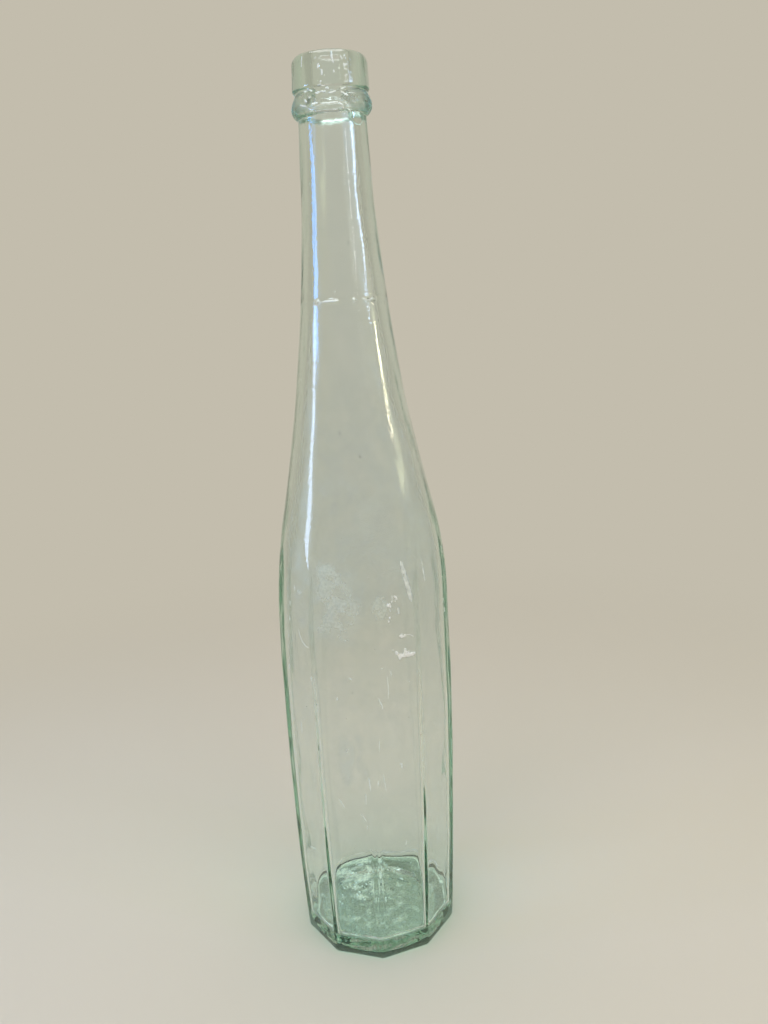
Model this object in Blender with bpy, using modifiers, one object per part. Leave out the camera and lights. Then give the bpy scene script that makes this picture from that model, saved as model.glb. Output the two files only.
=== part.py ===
"""Salad oil bottle: tall, ten-sided and mould-blown, with an applied lip and a laid-on string ring.

Blender 4.5 script, in metres with +Z up. The bottle stands on the origin with one panel edge
towards -Y. Each gather of glass is its own object: the blown body, the lip tooled over the
body's neck end, and the string ring wound round the neck under the lip.
"""

import math

import bmesh
import bpy
from mathutils import Vector

# Driving dimensions of the whole bottle
bottle_height = 0.315
panel_count = 10
fit_clearance = 0.0003
cut_overrun = 0.001
merge_distance = 0.00001

# Body panels, measured at their corners
foot_corner_radius = 0.0298
belly_corner_radius = 0.03235
belly_height = 0.100
panel_round_off_height = 0.116
panel_crown_height = 0.1605
panel_crown_corner_radius = 0.02995
panel_edge_round = 0.0008
heel_round = 0.0026

# Round shoulder and neck
shoulder_foot_height = 0.134
shoulder_radius = 0.0317
shoulder_drop_height = 0.030
shoulder_drop_flare = 0.0018
neck_end_radius = 0.0103
neck_bead_height = 0.242
neck_bead_swell = 0.0005
neck_bead_half_width = 0.0013

# Glass thickness and the cavity
body_wall = 0.0034
floor_thickness = 0.007
floor_rise = 0.0016
floor_corner_round = 0.0035
cavity_edge_round = 0.0022
mouth_bore_radius = 0.006

# Push-up under the base
push_up_radius = 0.0205
push_up_depth = 0.003

# Applied lip
lip_height = 0.0107
lip_top_radius = 0.0119
lip_foot_radius = 0.0124
lip_cover = 0.0026
lip_edge_round = 0.0009
lip_foot_round = 0.0005

# String ring and the drip that its trail left
ring_height = 0.0068
ring_radius = 0.0128
ring_top_radius = 0.0117
ring_crest_height = 0.0028
ring_crest_round = 0.0008
ring_foot_land = 0.0004
drip_angle = math.radians(41)
drip_half_width = 0.0024
drip_half_height = 0.0044
drip_half_depth = 0.0014
drip_drop = 0.0006

# Mesh fineness
round_steps = 50
shoulder_points = 15
panel_points = 5
bevel_segments = 3
bevel_limit_angle = math.radians(30)
arc_points = 4
dome_points = 6
bead_points = 7
drip_segments = 20
drip_rings = 12

# Outer shape from the shoulder's foot (0) to the neck's end (1) against its height,
# as the part of the way from the neck end's radius (0) to the shoulder's radius (1)
shoulder_shares = (
    (0.00, 1.000),
    (0.05, 0.987),
    (0.10, 0.944),
    (0.15, 0.856),
    (0.21, 0.742),
    (0.31, 0.570),
    (0.42, 0.401),
    (0.53, 0.274),
    (0.64, 0.170),
    (0.75, 0.093),
    (0.87, 0.046),
    (1.00, 0.000),
)

# Way from the belly's radius (0) to the crown's (1) against height from round-off to crown
panel_top_shares = (
    (0.00, 0.00),
    (0.28, 0.06),
    (0.58, 0.28),
    (0.79, 0.58),
    (1.00, 1.00),
)

# Heights that several pieces share
lip_seat = bottle_height - lip_height
neck_end_height = bottle_height - lip_cover - fit_clearance
ring_top = lip_seat - fit_clearance
ring_foot = ring_top - ring_height
half_panel_cosine = math.cos(math.pi / panel_count)

GLASS_COLOUR = (0.62, 0.80, 0.72, 1.0)
GLASS_ROUGHNESS = 0.04
GLASS_IOR = 1.52


def smooth_value(stations, place):
    """Value at place on a smooth curve through the (place, value) stations."""
    last = len(stations) - 1
    slopes = []
    for index in range(last + 1):
        low = stations[max(index - 1, 0)]
        high = stations[min(index + 1, last)]
        slopes.append((high[1] - low[1]) / (high[0] - low[0]))
    span = 0
    while span < last - 1 and place > stations[span + 1][0]:
        span += 1
    (start, first), (end, second) = stations[span], stations[span + 1]
    width = end - start
    t = min(max((place - start) / width, 0.0), 1.0)
    return (
        first * (1 - t) ** 2 * (1 + 2 * t)
        + second * t ** 2 * (3 - 2 * t)
        + slopes[span] * width * t * (1 - t) ** 2
        - slopes[span + 1] * width * t ** 2 * (1 - t)
    )


def shoulder_share(height):
    """Part of the way from the shoulder's foot to the neck's end at a height."""
    return (height - shoulder_foot_height) / (neck_end_height - shoulder_foot_height)


def round_radius(height):
    """Outer radius of the round shoulder and neck, without the bead."""
    if height < shoulder_foot_height:
        drop = (shoulder_foot_height - height) / shoulder_drop_height
        return shoulder_radius + shoulder_drop_flare * drop ** 2
    swell = smooth_value(shoulder_shares, shoulder_share(height))
    return neck_end_radius + (shoulder_radius - neck_end_radius) * swell


def beaded_radius(height):
    """Outer radius with the small moulded bead on the neck."""
    offset = abs(height - neck_bead_height) / neck_bead_half_width
    if offset >= 1:
        return round_radius(height)
    return round_radius(height) + neck_bead_swell * math.cos(offset * math.pi / 2) ** 2


def wall_at(height):
    """Glass thickness, growing from the body's to the neck end's."""
    neck_wall = neck_end_radius - mouth_bore_radius
    share = min(max(shoulder_share(height), 0.0), 1.0)
    return body_wall + (neck_wall - body_wall) * share


def panel_corner_radius(height):
    """Corner radius of the ten-sided block at a height."""
    if height < belly_height:
        below = 1 - height / belly_height
        return belly_corner_radius - (belly_corner_radius - foot_corner_radius) * below ** 2
    if height <= panel_round_off_height:
        return belly_corner_radius
    share = (height - panel_round_off_height) / (panel_crown_height - panel_round_off_height)
    way = smooth_value(panel_top_shares, min(share, 1.0))
    return belly_corner_radius + (panel_crown_corner_radius - belly_corner_radius) * way


def spread(low, high, count):
    """Count evenly spaced values from low to high, both included."""
    return [low + (high - low) * index / (count - 1) for index in range(count)]


def arc(centre_x, centre_z, radius, start_degrees, end_degrees):
    """Points of an arc in the profile plane, from one angle to another."""
    angles = [math.radians(a) for a in spread(start_degrees, end_degrees, arc_points + 1)]
    return [(centre_x + radius * math.cos(a), centre_z + radius * math.sin(a)) for a in angles]


def glass_material(name):
    """Pale green bottle glass."""
    material = bpy.data.materials.new(name)
    material.use_nodes = True
    shader = material.node_tree.nodes["Principled BSDF"]
    shader.inputs["Base Color"].default_value = GLASS_COLOUR
    shader.inputs["Roughness"].default_value = GLASS_ROUGHNESS
    shader.inputs["Metallic"].default_value = 0.0
    shader.inputs["IOR"].default_value = GLASS_IOR
    shader.inputs["Transmission Weight"].default_value = 1.0
    return material


def new_object(name, mesh, collection):
    """Put a mesh in a collection as a named object, made of glass if it is a part."""
    item = bpy.data.objects.new(name, mesh)
    collection.objects.link(item)
    if collection is cutters:
        item.hide_render = True
        item.display_type = 'WIRE'
    else:
        mesh.materials.append(glass_material(name + "_glass"))
    return item


def turned(name, profile, collection, closed=False, steps=None):
    """Turn a profile of (radius, height) points, listed down its outer side, about Z."""
    mesh = bpy.data.meshes.new(name)
    edges = [(index, index + 1) for index in range(len(profile) - 1)]
    if closed:
        edges.append((len(profile) - 1, 0))
    mesh.from_pydata([(radius, 0.0, height) for radius, height in profile], edges, [])
    item = new_object(name, mesh, collection)
    screw = item.modifiers.new("Turn", 'SCREW')
    screw.steps = steps or round_steps
    screw.render_steps = screw.steps
    screw.use_merge_vertices = True
    screw.merge_threshold = merge_distance
    return item


def combine(item, other, operation):
    """Add a Boolean modifier to an object."""
    boolean = item.modifiers.new(operation.title() + " " + other.name, 'BOOLEAN')
    boolean.operation = operation
    boolean.solver = 'EXACT'
    boolean.object = other


def panel_block(name, inset, foot, foot_round, edge_round):
    """Ten-sided block inside the panels by an inset, with a rounded foot and edges."""
    inset_at_corner = inset / half_panel_cosine
    top = bottle_height + cut_overrun

    def corner(height):
        return panel_corner_radius(height) - inset_at_corner

    heights = spread(panel_crown_height, panel_round_off_height, panel_points)
    heights += spread(belly_height, foot + foot_round, panel_points)
    profile = [(0.0, top), (corner(top), top)]
    profile += [(corner(height), height) for height in heights]
    foot_corner = corner(foot + foot_round)
    profile += arc(foot_corner - foot_round, foot + foot_round, foot_round, 0, -90)[1:]
    profile.append((0.0, foot))
    block = turned(name, profile, cutters, steps=panel_count)
    block.rotation_euler.z = -math.pi / 2
    bevel = block.modifiers.new("Soft panel edges", 'BEVEL')
    bevel.width = edge_round
    bevel.segments = bevel_segments
    bevel.limit_method = 'ANGLE'
    bevel.angle_limit = bevel_limit_angle
    return block


def shoulder_heights():
    """Heights of the round profile from the neck's end down to below the shoulder."""
    lowest = shoulder_foot_height - shoulder_drop_height
    plain = spread(neck_end_height, shoulder_foot_height, shoulder_points)
    plain += spread(shoulder_foot_height, lowest, arc_points)[1:]
    clear = [z for z in plain if abs(z - neck_bead_height) > 2 * neck_bead_half_width]
    bead_low = neck_bead_height - neck_bead_half_width
    bead_high = neck_bead_height + neck_bead_half_width
    return sorted(clear + spread(bead_low, bead_high, bead_points), reverse=True)


def build_cavity():
    """The hollow inside the body: ten-sided below, round above, open at the neck's end."""
    top = neck_end_height + cut_overrun
    profile = [(0.0, top), (mouth_bore_radius, top)]
    profile += [(round_radius(z) - wall_at(z), z) for z in shoulder_heights()]
    widest = profile[-1][0]
    dome_foot = floor_thickness - floor_rise
    profile.append((widest, dome_foot))
    for share in spread(1.0, 0.0, dome_points)[1:]:
        rise = 2 * floor_rise * (1 - share ** 2)
        profile.append((widest * share, dome_foot + rise))
    cavity = turned("cavity_cutter", profile, cutters)
    block = panel_block(
        "cavity_panels", body_wall, floor_thickness, floor_corner_round, cavity_edge_round
    )
    combine(cavity, block, 'INTERSECT')
    return cavity


def build_push_up():
    """Shallow dome that is pushed up into the base."""
    profile = [
        (push_up_radius * share, push_up_depth * (1 - share ** 2))
        for share in spread(0.0, 1.0, dome_points)
    ]
    profile.append((push_up_radius, -cut_overrun))
    profile.append((0.0, -cut_overrun))
    return turned("push_up_cutter", profile, cutters)


def build_body():
    """Blown body: panels, shoulder, beaded neck, thick base and the cavity."""
    profile = [(0.0, neck_end_height)]
    profile += [(beaded_radius(z), z) for z in shoulder_heights()]
    profile.append((profile[-1][0], -cut_overrun))
    profile.append((0.0, -cut_overrun))
    body = turned("blown_body", profile, parts)
    combine(body, panel_block("body_panels", 0.0, 0.0, heel_round, panel_edge_round), 'INTERSECT')
    combine(body, build_push_up(), 'DIFFERENCE')
    combine(body, build_cavity(), 'DIFFERENCE')
    return body


def build_lip():
    """Applied lip: a tall collar that covers the neck's end and carries on its bore."""
    socket_top = neck_end_height + fit_clearance
    top_corner = lip_top_radius - lip_edge_round
    bore_corner = mouth_bore_radius + lip_edge_round
    edge_height = bottle_height - lip_edge_round
    foot_corner = lip_foot_radius - lip_foot_round
    profile = arc(top_corner, edge_height, lip_edge_round, 90, 0)
    profile += arc(foot_corner, lip_seat + lip_foot_round, lip_foot_round, 0, -90)
    for height in spread(lip_seat, socket_top, arc_points):
        profile.append((round_radius(height) + fit_clearance, height))
    profile.append((mouth_bore_radius, socket_top))
    profile += arc(bore_corner, edge_height, lip_edge_round, 180, 90)
    return turned("applied_lip", profile, parts, closed=True)


def build_ring():
    """String ring under the lip, with the drip where its trail was broken off."""
    crest = ring_foot + ring_crest_height
    crest_centre = ring_radius - ring_crest_round
    foot_radius = round_radius(ring_foot) + fit_clearance
    profile = [(ring_top_radius, ring_top)]
    profile += arc(crest_centre, crest, ring_crest_round, 30, -50)
    profile.append((foot_radius + ring_foot_land, ring_foot))
    for height in (ring_foot, ring_top):
        profile.append((round_radius(height) - cut_overrun, height))
    ring = turned("string_ring", profile, parts, closed=True)

    drip_mesh = bpy.data.meshes.new("drip")
    shape = bmesh.new()
    bmesh.ops.create_uvsphere(shape, u_segments=drip_segments, v_segments=drip_rings, radius=1.0)
    shape.to_mesh(drip_mesh)
    shape.free()
    drip = new_object("drip", drip_mesh, cutters)
    outward = Vector((math.sin(drip_angle), -math.cos(drip_angle), 0.0))
    drip_height = ring_foot - drip_drop
    drip.location = outward * (round_radius(drip_height) + fit_clearance)
    drip.location.z = drip_height
    drip.rotation_euler.z = drip_angle
    drip.scale = (drip_half_width, drip_half_depth, drip_half_height)
    combine(ring, drip, 'UNION')

    low = ring_foot - drip_half_height * 2
    neck_profile = [(0.0, ring_top + cut_overrun)]
    for height in spread(ring_top + cut_overrun, low, 2 * arc_points):
        neck_profile.append((round_radius(height) + fit_clearance, height))
    neck_profile.append((0.0, low))
    combine(ring, turned("neck_clearance", neck_profile, cutters), 'DIFFERENCE')
    return ring


for old in list(bpy.data.objects):
    bpy.data.objects.remove(old)

parts = bpy.data.collections.new("salad_oil_bottle")
cutters = bpy.data.collections.new("cutters")
bpy.context.scene.collection.children.link(parts)
bpy.context.scene.collection.children.link(cutters)

build_body()
build_lip()
build_ring()
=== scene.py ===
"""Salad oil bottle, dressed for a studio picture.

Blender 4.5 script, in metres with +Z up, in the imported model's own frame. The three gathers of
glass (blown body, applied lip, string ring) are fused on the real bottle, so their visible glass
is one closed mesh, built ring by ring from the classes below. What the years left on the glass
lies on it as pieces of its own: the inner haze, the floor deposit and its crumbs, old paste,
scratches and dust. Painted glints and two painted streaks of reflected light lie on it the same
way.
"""

import logging
import math
from collections.abc import Callable, Iterable
from dataclasses import dataclass, field
from enum import Enum

import bpy
import numpy as np
from mathutils import Matrix, Vector


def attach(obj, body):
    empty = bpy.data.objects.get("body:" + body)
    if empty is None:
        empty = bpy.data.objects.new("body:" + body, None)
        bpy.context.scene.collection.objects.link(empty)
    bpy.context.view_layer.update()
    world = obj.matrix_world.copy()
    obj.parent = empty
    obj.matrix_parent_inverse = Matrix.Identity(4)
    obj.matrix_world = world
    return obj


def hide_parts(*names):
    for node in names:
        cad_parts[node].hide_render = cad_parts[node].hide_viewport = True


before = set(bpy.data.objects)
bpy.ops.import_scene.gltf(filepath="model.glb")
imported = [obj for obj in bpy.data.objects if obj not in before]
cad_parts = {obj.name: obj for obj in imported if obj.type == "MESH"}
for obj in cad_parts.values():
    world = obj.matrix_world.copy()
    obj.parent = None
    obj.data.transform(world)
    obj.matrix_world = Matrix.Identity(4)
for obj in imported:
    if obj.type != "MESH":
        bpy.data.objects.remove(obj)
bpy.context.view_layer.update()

logging.basicConfig(level=logging.INFO, format="%(message)s")
log = logging.getLogger("salad_oil_bottle")

MILLIMETRE = 0.001
BODY = "root"
# Nearly all values of a noise pattern lie between these.
NOISE_SPAN = (0.35, 0.65)

# The points and faces of one closed skin or sheet.
Skin = tuple[np.ndarray, list[tuple[int, ...]]]
# What gives a radius or a height for a turn and a height or radius.
Surface = Callable[[np.ndarray, np.ndarray], np.ndarray]


def linear(colour: str) -> tuple[float, float, float, float]:
    """Turn an sRGB hex colour into Blender's linear colour.

    Args:
        colour: six hex digits after a hash sign.

    Returns:
        Red, green, blue and an alpha of 1.
    """
    shares = [int(colour[place:place + 2], 16) / 255 for place in (1, 3, 5)]
    turned = [s / 12.92 if s <= 0.04045 else ((s + 0.055) / 1.055) ** 2.4 for s in shares]
    return (*turned, 1.0)


def add_node(
    tree: bpy.types.NodeTree,
    kind: str,
    settings: dict | None = None,
    values: dict | None = None,
    links: dict | None = None,
) -> bpy.types.Node:
    """Add one node to a node tree.

    Args:
        tree: the tree that gets the node.
        kind: Blender's name for the node type.
        settings: the node's own properties by name.
        values: socket values by input name or number.
        links: output sockets to join, by input name or number.

    Returns:
        The new node.
    """
    node = tree.nodes.new(kind)
    for name, value in (settings or {}).items():
        setattr(node, name, value)
    for socket, value in (values or {}).items():
        node.inputs[socket].default_value = value
    for socket, source in (links or {}).items():
        tree.links.new(source, node.inputs[socket])
    return node


def new_material(name: str) -> tuple[bpy.types.Material, bpy.types.NodeTree]:
    """Make an empty node material.

    Args:
        name: the material's name.

    Returns:
        The material and its node tree.
    """
    material = bpy.data.materials.new(name)
    material.use_nodes = True
    material.node_tree.nodes.clear()
    return material, material.node_tree


def attribute(tree: bpy.types.NodeTree, name: str) -> bpy.types.NodeSocket:
    """Read one of the mesh's attributes by its name."""
    node = add_node(tree, "ShaderNodeAttribute", settings={"attribute_name": name})
    return node.outputs["Fac"]


def noise(
    tree: bpy.types.NodeTree,
    place: bpy.types.NodeSocket,
    size: float,
    detail: float = 2.0,
    roughness: float = 0.5,
) -> bpy.types.NodeSocket:
    """Add a cloudy pattern.

    Args:
        tree: the material's node tree.
        place: the places where the pattern is read.
        size: how wide one of its clouds is.
        detail: how many finer layers lie on the clouds.
        roughness: how strong each finer layer is.

    Returns:
        The pattern's values, from 0 to 1.
    """
    node = add_node(
        tree, "ShaderNodeTexNoise",
        values={"Scale": 1 / size, "Detail": detail, "Roughness": roughness},
        links={"Vector": place},
    )
    return node.outputs["Fac"]


def drawn_out(
    tree: bpy.types.NodeTree, place: bpy.types.NodeSocket, width: float, length: float
) -> bpy.types.NodeSocket:
    """Count places in widths to the side and in lengths upwards.

    Args:
        tree: the material's node tree.
        place: the places, in metres.
        width: the unit across and away.
        length: the unit upwards.

    Returns:
        The places, in these units.
    """
    node = add_node(
        tree, "ShaderNodeMapping", values={"Scale": (1 / width, 1 / width, 1 / length)},
        links={"Vector": place},
    )
    return node.outputs["Vector"]


def mapped(
    tree: bpy.types.NodeTree,
    value: bpy.types.NodeSocket,
    span: tuple[float, float],
    onto: tuple[float, float] = (0.0, 1.0),
    eased: bool = False,
) -> bpy.types.NodeSocket:
    """Map one span of values onto another and hold it at its ends.

    Args:
        tree: the material's node tree.
        value: the values.
        span: the span that they are read from.
        onto: the span that it becomes.
        eased: whether the ends are eased.

    Returns:
        The mapped values.
    """
    node = add_node(
        tree, "ShaderNodeMapRange",
        settings={"interpolation_type": "SMOOTHSTEP" if eased else "LINEAR"},
        values={"From Min": span[0], "From Max": span[1], "To Min": onto[0], "To Max": onto[1]},
        links={"Value": value},
    )
    return node.outputs["Result"]


def reckoned(
    tree: bpy.types.NodeTree,
    operation: str,
    *sources: bpy.types.NodeSocket,
    clamped: bool = False,
) -> bpy.types.NodeSocket:
    """Put values through one operation of the Math node.

    Args:
        tree: the material's node tree.
        operation: Blender's name for the operation.
        sources: the values, in the operation's order.
        clamped: whether the result is held between 0 and 1.

    Returns:
        The result.
    """
    node = add_node(
        tree, "ShaderNodeMath", settings={"operation": operation, "use_clamp": clamped},
        links=dict(enumerate(sources)),
    )
    return node.outputs[0]


def blended(
    tree: bpy.types.NodeTree, share: bpy.types.NodeSocket, first: str, second: str
) -> bpy.types.NodeSocket:
    """Pass from one sRGB hex colour to another as a share grows."""
    node = add_node(
        tree, "ShaderNodeMix", settings={"data_type": "RGBA"},
        values={6: linear(first), 7: linear(second)}, links={0: share},
    )
    return node.outputs[2]


def bumped(
    tree: bpy.types.NodeTree,
    height: bpy.types.NodeSocket,
    depth: float,
    normal: bpy.types.NodeSocket | None = None,
) -> bpy.types.NodeSocket:
    """Roughen a surface by a pattern.

    Args:
        tree: the material's node tree.
        height: the pattern, from 0 to 1.
        depth: how far it goes in, in metres.
        normal: the normal of the bump that this one lies on.

    Returns:
        The new normal.
    """
    links = {"Height": height} if normal is None else {"Height": height, "Normal": normal}
    node = add_node(
        tree, "ShaderNodeBump", values={"Strength": 1.0, "Distance": depth}, links=links
    )
    return node.outputs["Normal"]


def new_mesh(name: str, points: np.ndarray, faces: list[tuple[int, ...]]) -> bpy.types.Mesh:
    """Make a mesh that is smooth all over.

    Args:
        name: the mesh's name.
        points: its points.
        faces: its faces, by their points' numbers.

    Returns:
        The mesh.
    """
    mesh = bpy.data.meshes.new(name)
    mesh.from_pydata(points, [], faces)
    mesh.shade_smooth()
    return mesh


def new_piece(mesh: bpy.types.Mesh, material: bpy.types.Material) -> bpy.types.Object:
    """Make a piece of the bottle from its mesh.

    Args:
        mesh: the finished mesh, which gives the piece its name.
        material: what it is made of.

    Returns:
        The piece, which rides on the bottle.
    """
    mesh.materials.append(material)
    piece = bpy.data.objects.new(mesh.name, mesh)
    bpy.context.scene.collection.objects.link(piece)
    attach(piece, BODY)
    log.info("%s: %d points, %d faces", piece.name, len(mesh.vertices), len(mesh.polygons))
    return piece


def ring_faces(
    rings: int, columns: int, first: int = 0, outwards: bool = True
) -> list[tuple[int, ...]]:
    """Faces between closed rings of points.

    Args:
        rings: how many rings there are.
        columns: how many points each ring has.
        first: the number of the first ring's first point.
        outwards: whether the faces look outwards where the rings rise.

    Returns:
        The faces, ring by ring.
    """
    column = np.arange(columns)
    following = (column + 1) % columns
    low = first + columns * np.arange(rings - 1)[:, None]
    high = low + columns
    corners = (low + column, low + following, high + following, high + column)
    if not outwards:
        corners = (low + column, high + column, high + following, low + following)
    return [tuple(face) for face in np.stack(corners, axis=-1).reshape(-1, 4).tolist()]


def fan_faces(tip: int, first: int, columns: int, turned: bool = False) -> list[tuple[int, ...]]:
    """Faces from one point to a closed ring.

    Args:
        tip: the number of the point.
        first: the number of the ring's first point.
        columns: how many points the ring has.
        turned: whether the faces look the other way.

    Returns:
        The faces.
    """
    fan = [(tip, first + side, first + (side + 1) % columns) for side in range(columns)]
    return [(tip, following, side) for _, side, following in fan] if turned else fan


def joined(skins: Iterable[Skin]) -> Skin:
    """Join the points and faces of several skins.

    Args:
        skins: the skins, in order.

    Returns:
        One skin that holds them all, with its points numbered through.
    """
    points, faces, count = [], [], 0
    for spots, skin in skins:
        points.append(spots)
        faces.extend(tuple(count + index for index in face) for face in skin)
        count += len(spots)
    return np.concatenate(points), faces


def facing(turn: np.ndarray) -> np.ndarray:
    """Bring angles between minus and plus half a turn, with 0 in front."""
    return (turn + math.pi) % (2 * math.pi) - math.pi


def at_one_place(surface: Surface, turn: float, place: float) -> float:
    """Read a surface of the bottle at a single place."""
    return float(surface(np.array([turn]), np.array([place]))[0])


def smooth_step(share: np.ndarray) -> np.ndarray:
    """Ease a share from 0 to 1."""
    share = np.clip(share, 0.0, 1.0)
    return share * share * (3 - 2 * share)


def softer_of(first: np.ndarray, second: np.ndarray, softness: float) -> np.ndarray:
    """Take the lower of two surfaces, with their crossing rounded.

    Args:
        first: one surface's radii.
        second: the other's.
        softness: how far from the crossing the rounding reaches, in metres.

    Returns:
        The blended radii, never above the lower one.
    """
    share = np.clip(0.5 + 0.5 * (second - first) / softness, 0.0, 1.0)
    return second + (first - second) * share - softness * share * (1 - share)


@dataclass(frozen=True)
class SmoothCurve:
    """A smooth curve through (place, value) stations, level beyond its ends."""

    stations: tuple[tuple[float, float], ...]

    def at(self, place: np.ndarray | float) -> np.ndarray:
        """Read the curve.

        Args:
            place: where to read it.

        Returns:
            The values there.
        """
        places, values = np.array(self.stations, float).T
        slopes = np.gradient(values, places)
        place = np.clip(np.asarray(place, float), places[0], places[-1])
        span = np.clip(np.searchsorted(places, place, side="right") - 1, 0, len(places) - 2)
        width = places[span + 1] - places[span]
        t = (place - places[span]) / width
        return (
            values[span] * (1 - t) ** 2 * (1 + 2 * t)
            + values[span + 1] * t ** 2 * (3 - 2 * t)
            + slopes[span] * width * t * (1 - t) ** 2
            - slopes[span + 1] * width * t ** 2 * (1 - t)
        )


@dataclass(frozen=True)
class Ripple:
    """Slow unevenness of a blown or tooled surface, the same at every run."""

    seed: int
    depth: float
    waves_round: tuple[int, int]
    wave_heights: tuple[float, float]
    waves: int = 14

    def at(self, turn: np.ndarray, height: np.ndarray) -> np.ndarray:
        """Read the unevenness.

        Args:
            turn: angles round the bottle, in radians.
            height: heights, in metres.

        Returns:
            Offsets between about minus and plus the depth.
        """
        chance = np.random.default_rng(self.seed)
        total = np.zeros(np.broadcast(turn, height).shape)
        for _ in range(self.waves):
            around = int(chance.integers(self.waves_round[0], self.waves_round[1] + 1))
            tall = chance.uniform(*self.wave_heights) * chance.choice((-1, 1))
            phase = chance.uniform(0, 2 * math.pi)
            total = total + np.sin(around * turn + 2 * math.pi * height / tall + phase)
        return total * self.depth / math.sqrt(self.waves)


def placed(radius: np.ndarray, turn: np.ndarray, height: np.ndarray) -> np.ndarray:
    """Turn radii, angles and heights into points.

    Args:
        radius: distances from the bottle's axis.
        turn: angles from the front panel edge towards +X, in radians.
        height: heights above the table.

    Returns:
        Points, with x, y and z on the last axis.
    """
    radius, turn, height = np.broadcast_arrays(radius, turn, height)
    return np.stack((radius * np.sin(turn), -radius * np.cos(turn), height), axis=-1)


def spaced(spans: tuple[tuple[float, float, float], ...]) -> np.ndarray:
    """Places along several spans, none of them twice.

    Args:
        spans: where each span starts and ends, and the widest step in it.

    Returns:
        The places in order, each span without its end.
    """
    return np.concatenate([
        np.linspace(low, high, max(1, math.ceil((high - low) / step)), endpoint=False)
        for low, high, step in spans
    ])


@dataclass(frozen=True)
class Panels:
    """Ten flat panels that meet at softly rounded edges."""

    count: int = 10

    @property
    def half_turn(self) -> float:
        """Half the angle that one panel takes."""
        return math.pi / self.count

    def radius(self, turn: np.ndarray, corner: np.ndarray, edge_round: float) -> np.ndarray:
        """Distance from the axis to the panels.

        Args:
            turn: angles from an edge, in radians.
            corner: radius at which two neighbouring panels would meet in a sharp edge.
            edge_round: radius of the rounding of that edge.

        Returns:
            The radii.
        """
        half = self.half_turn
        off_edge = np.abs((turn + half) % (2 * half) - half)
        flat = corner * math.cos(half) / np.cos(half - off_edge)
        centre = corner - edge_round / math.cos(half)
        across = centre * np.sin(off_edge)
        rounded = centre * np.cos(off_edge) + np.sqrt(np.maximum(edge_round ** 2 - across ** 2, 0))
        meets = np.arctan2(edge_round * math.sin(half), centre + edge_round * math.cos(half))
        return np.where(off_edge < meets, rounded, flat)


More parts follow.
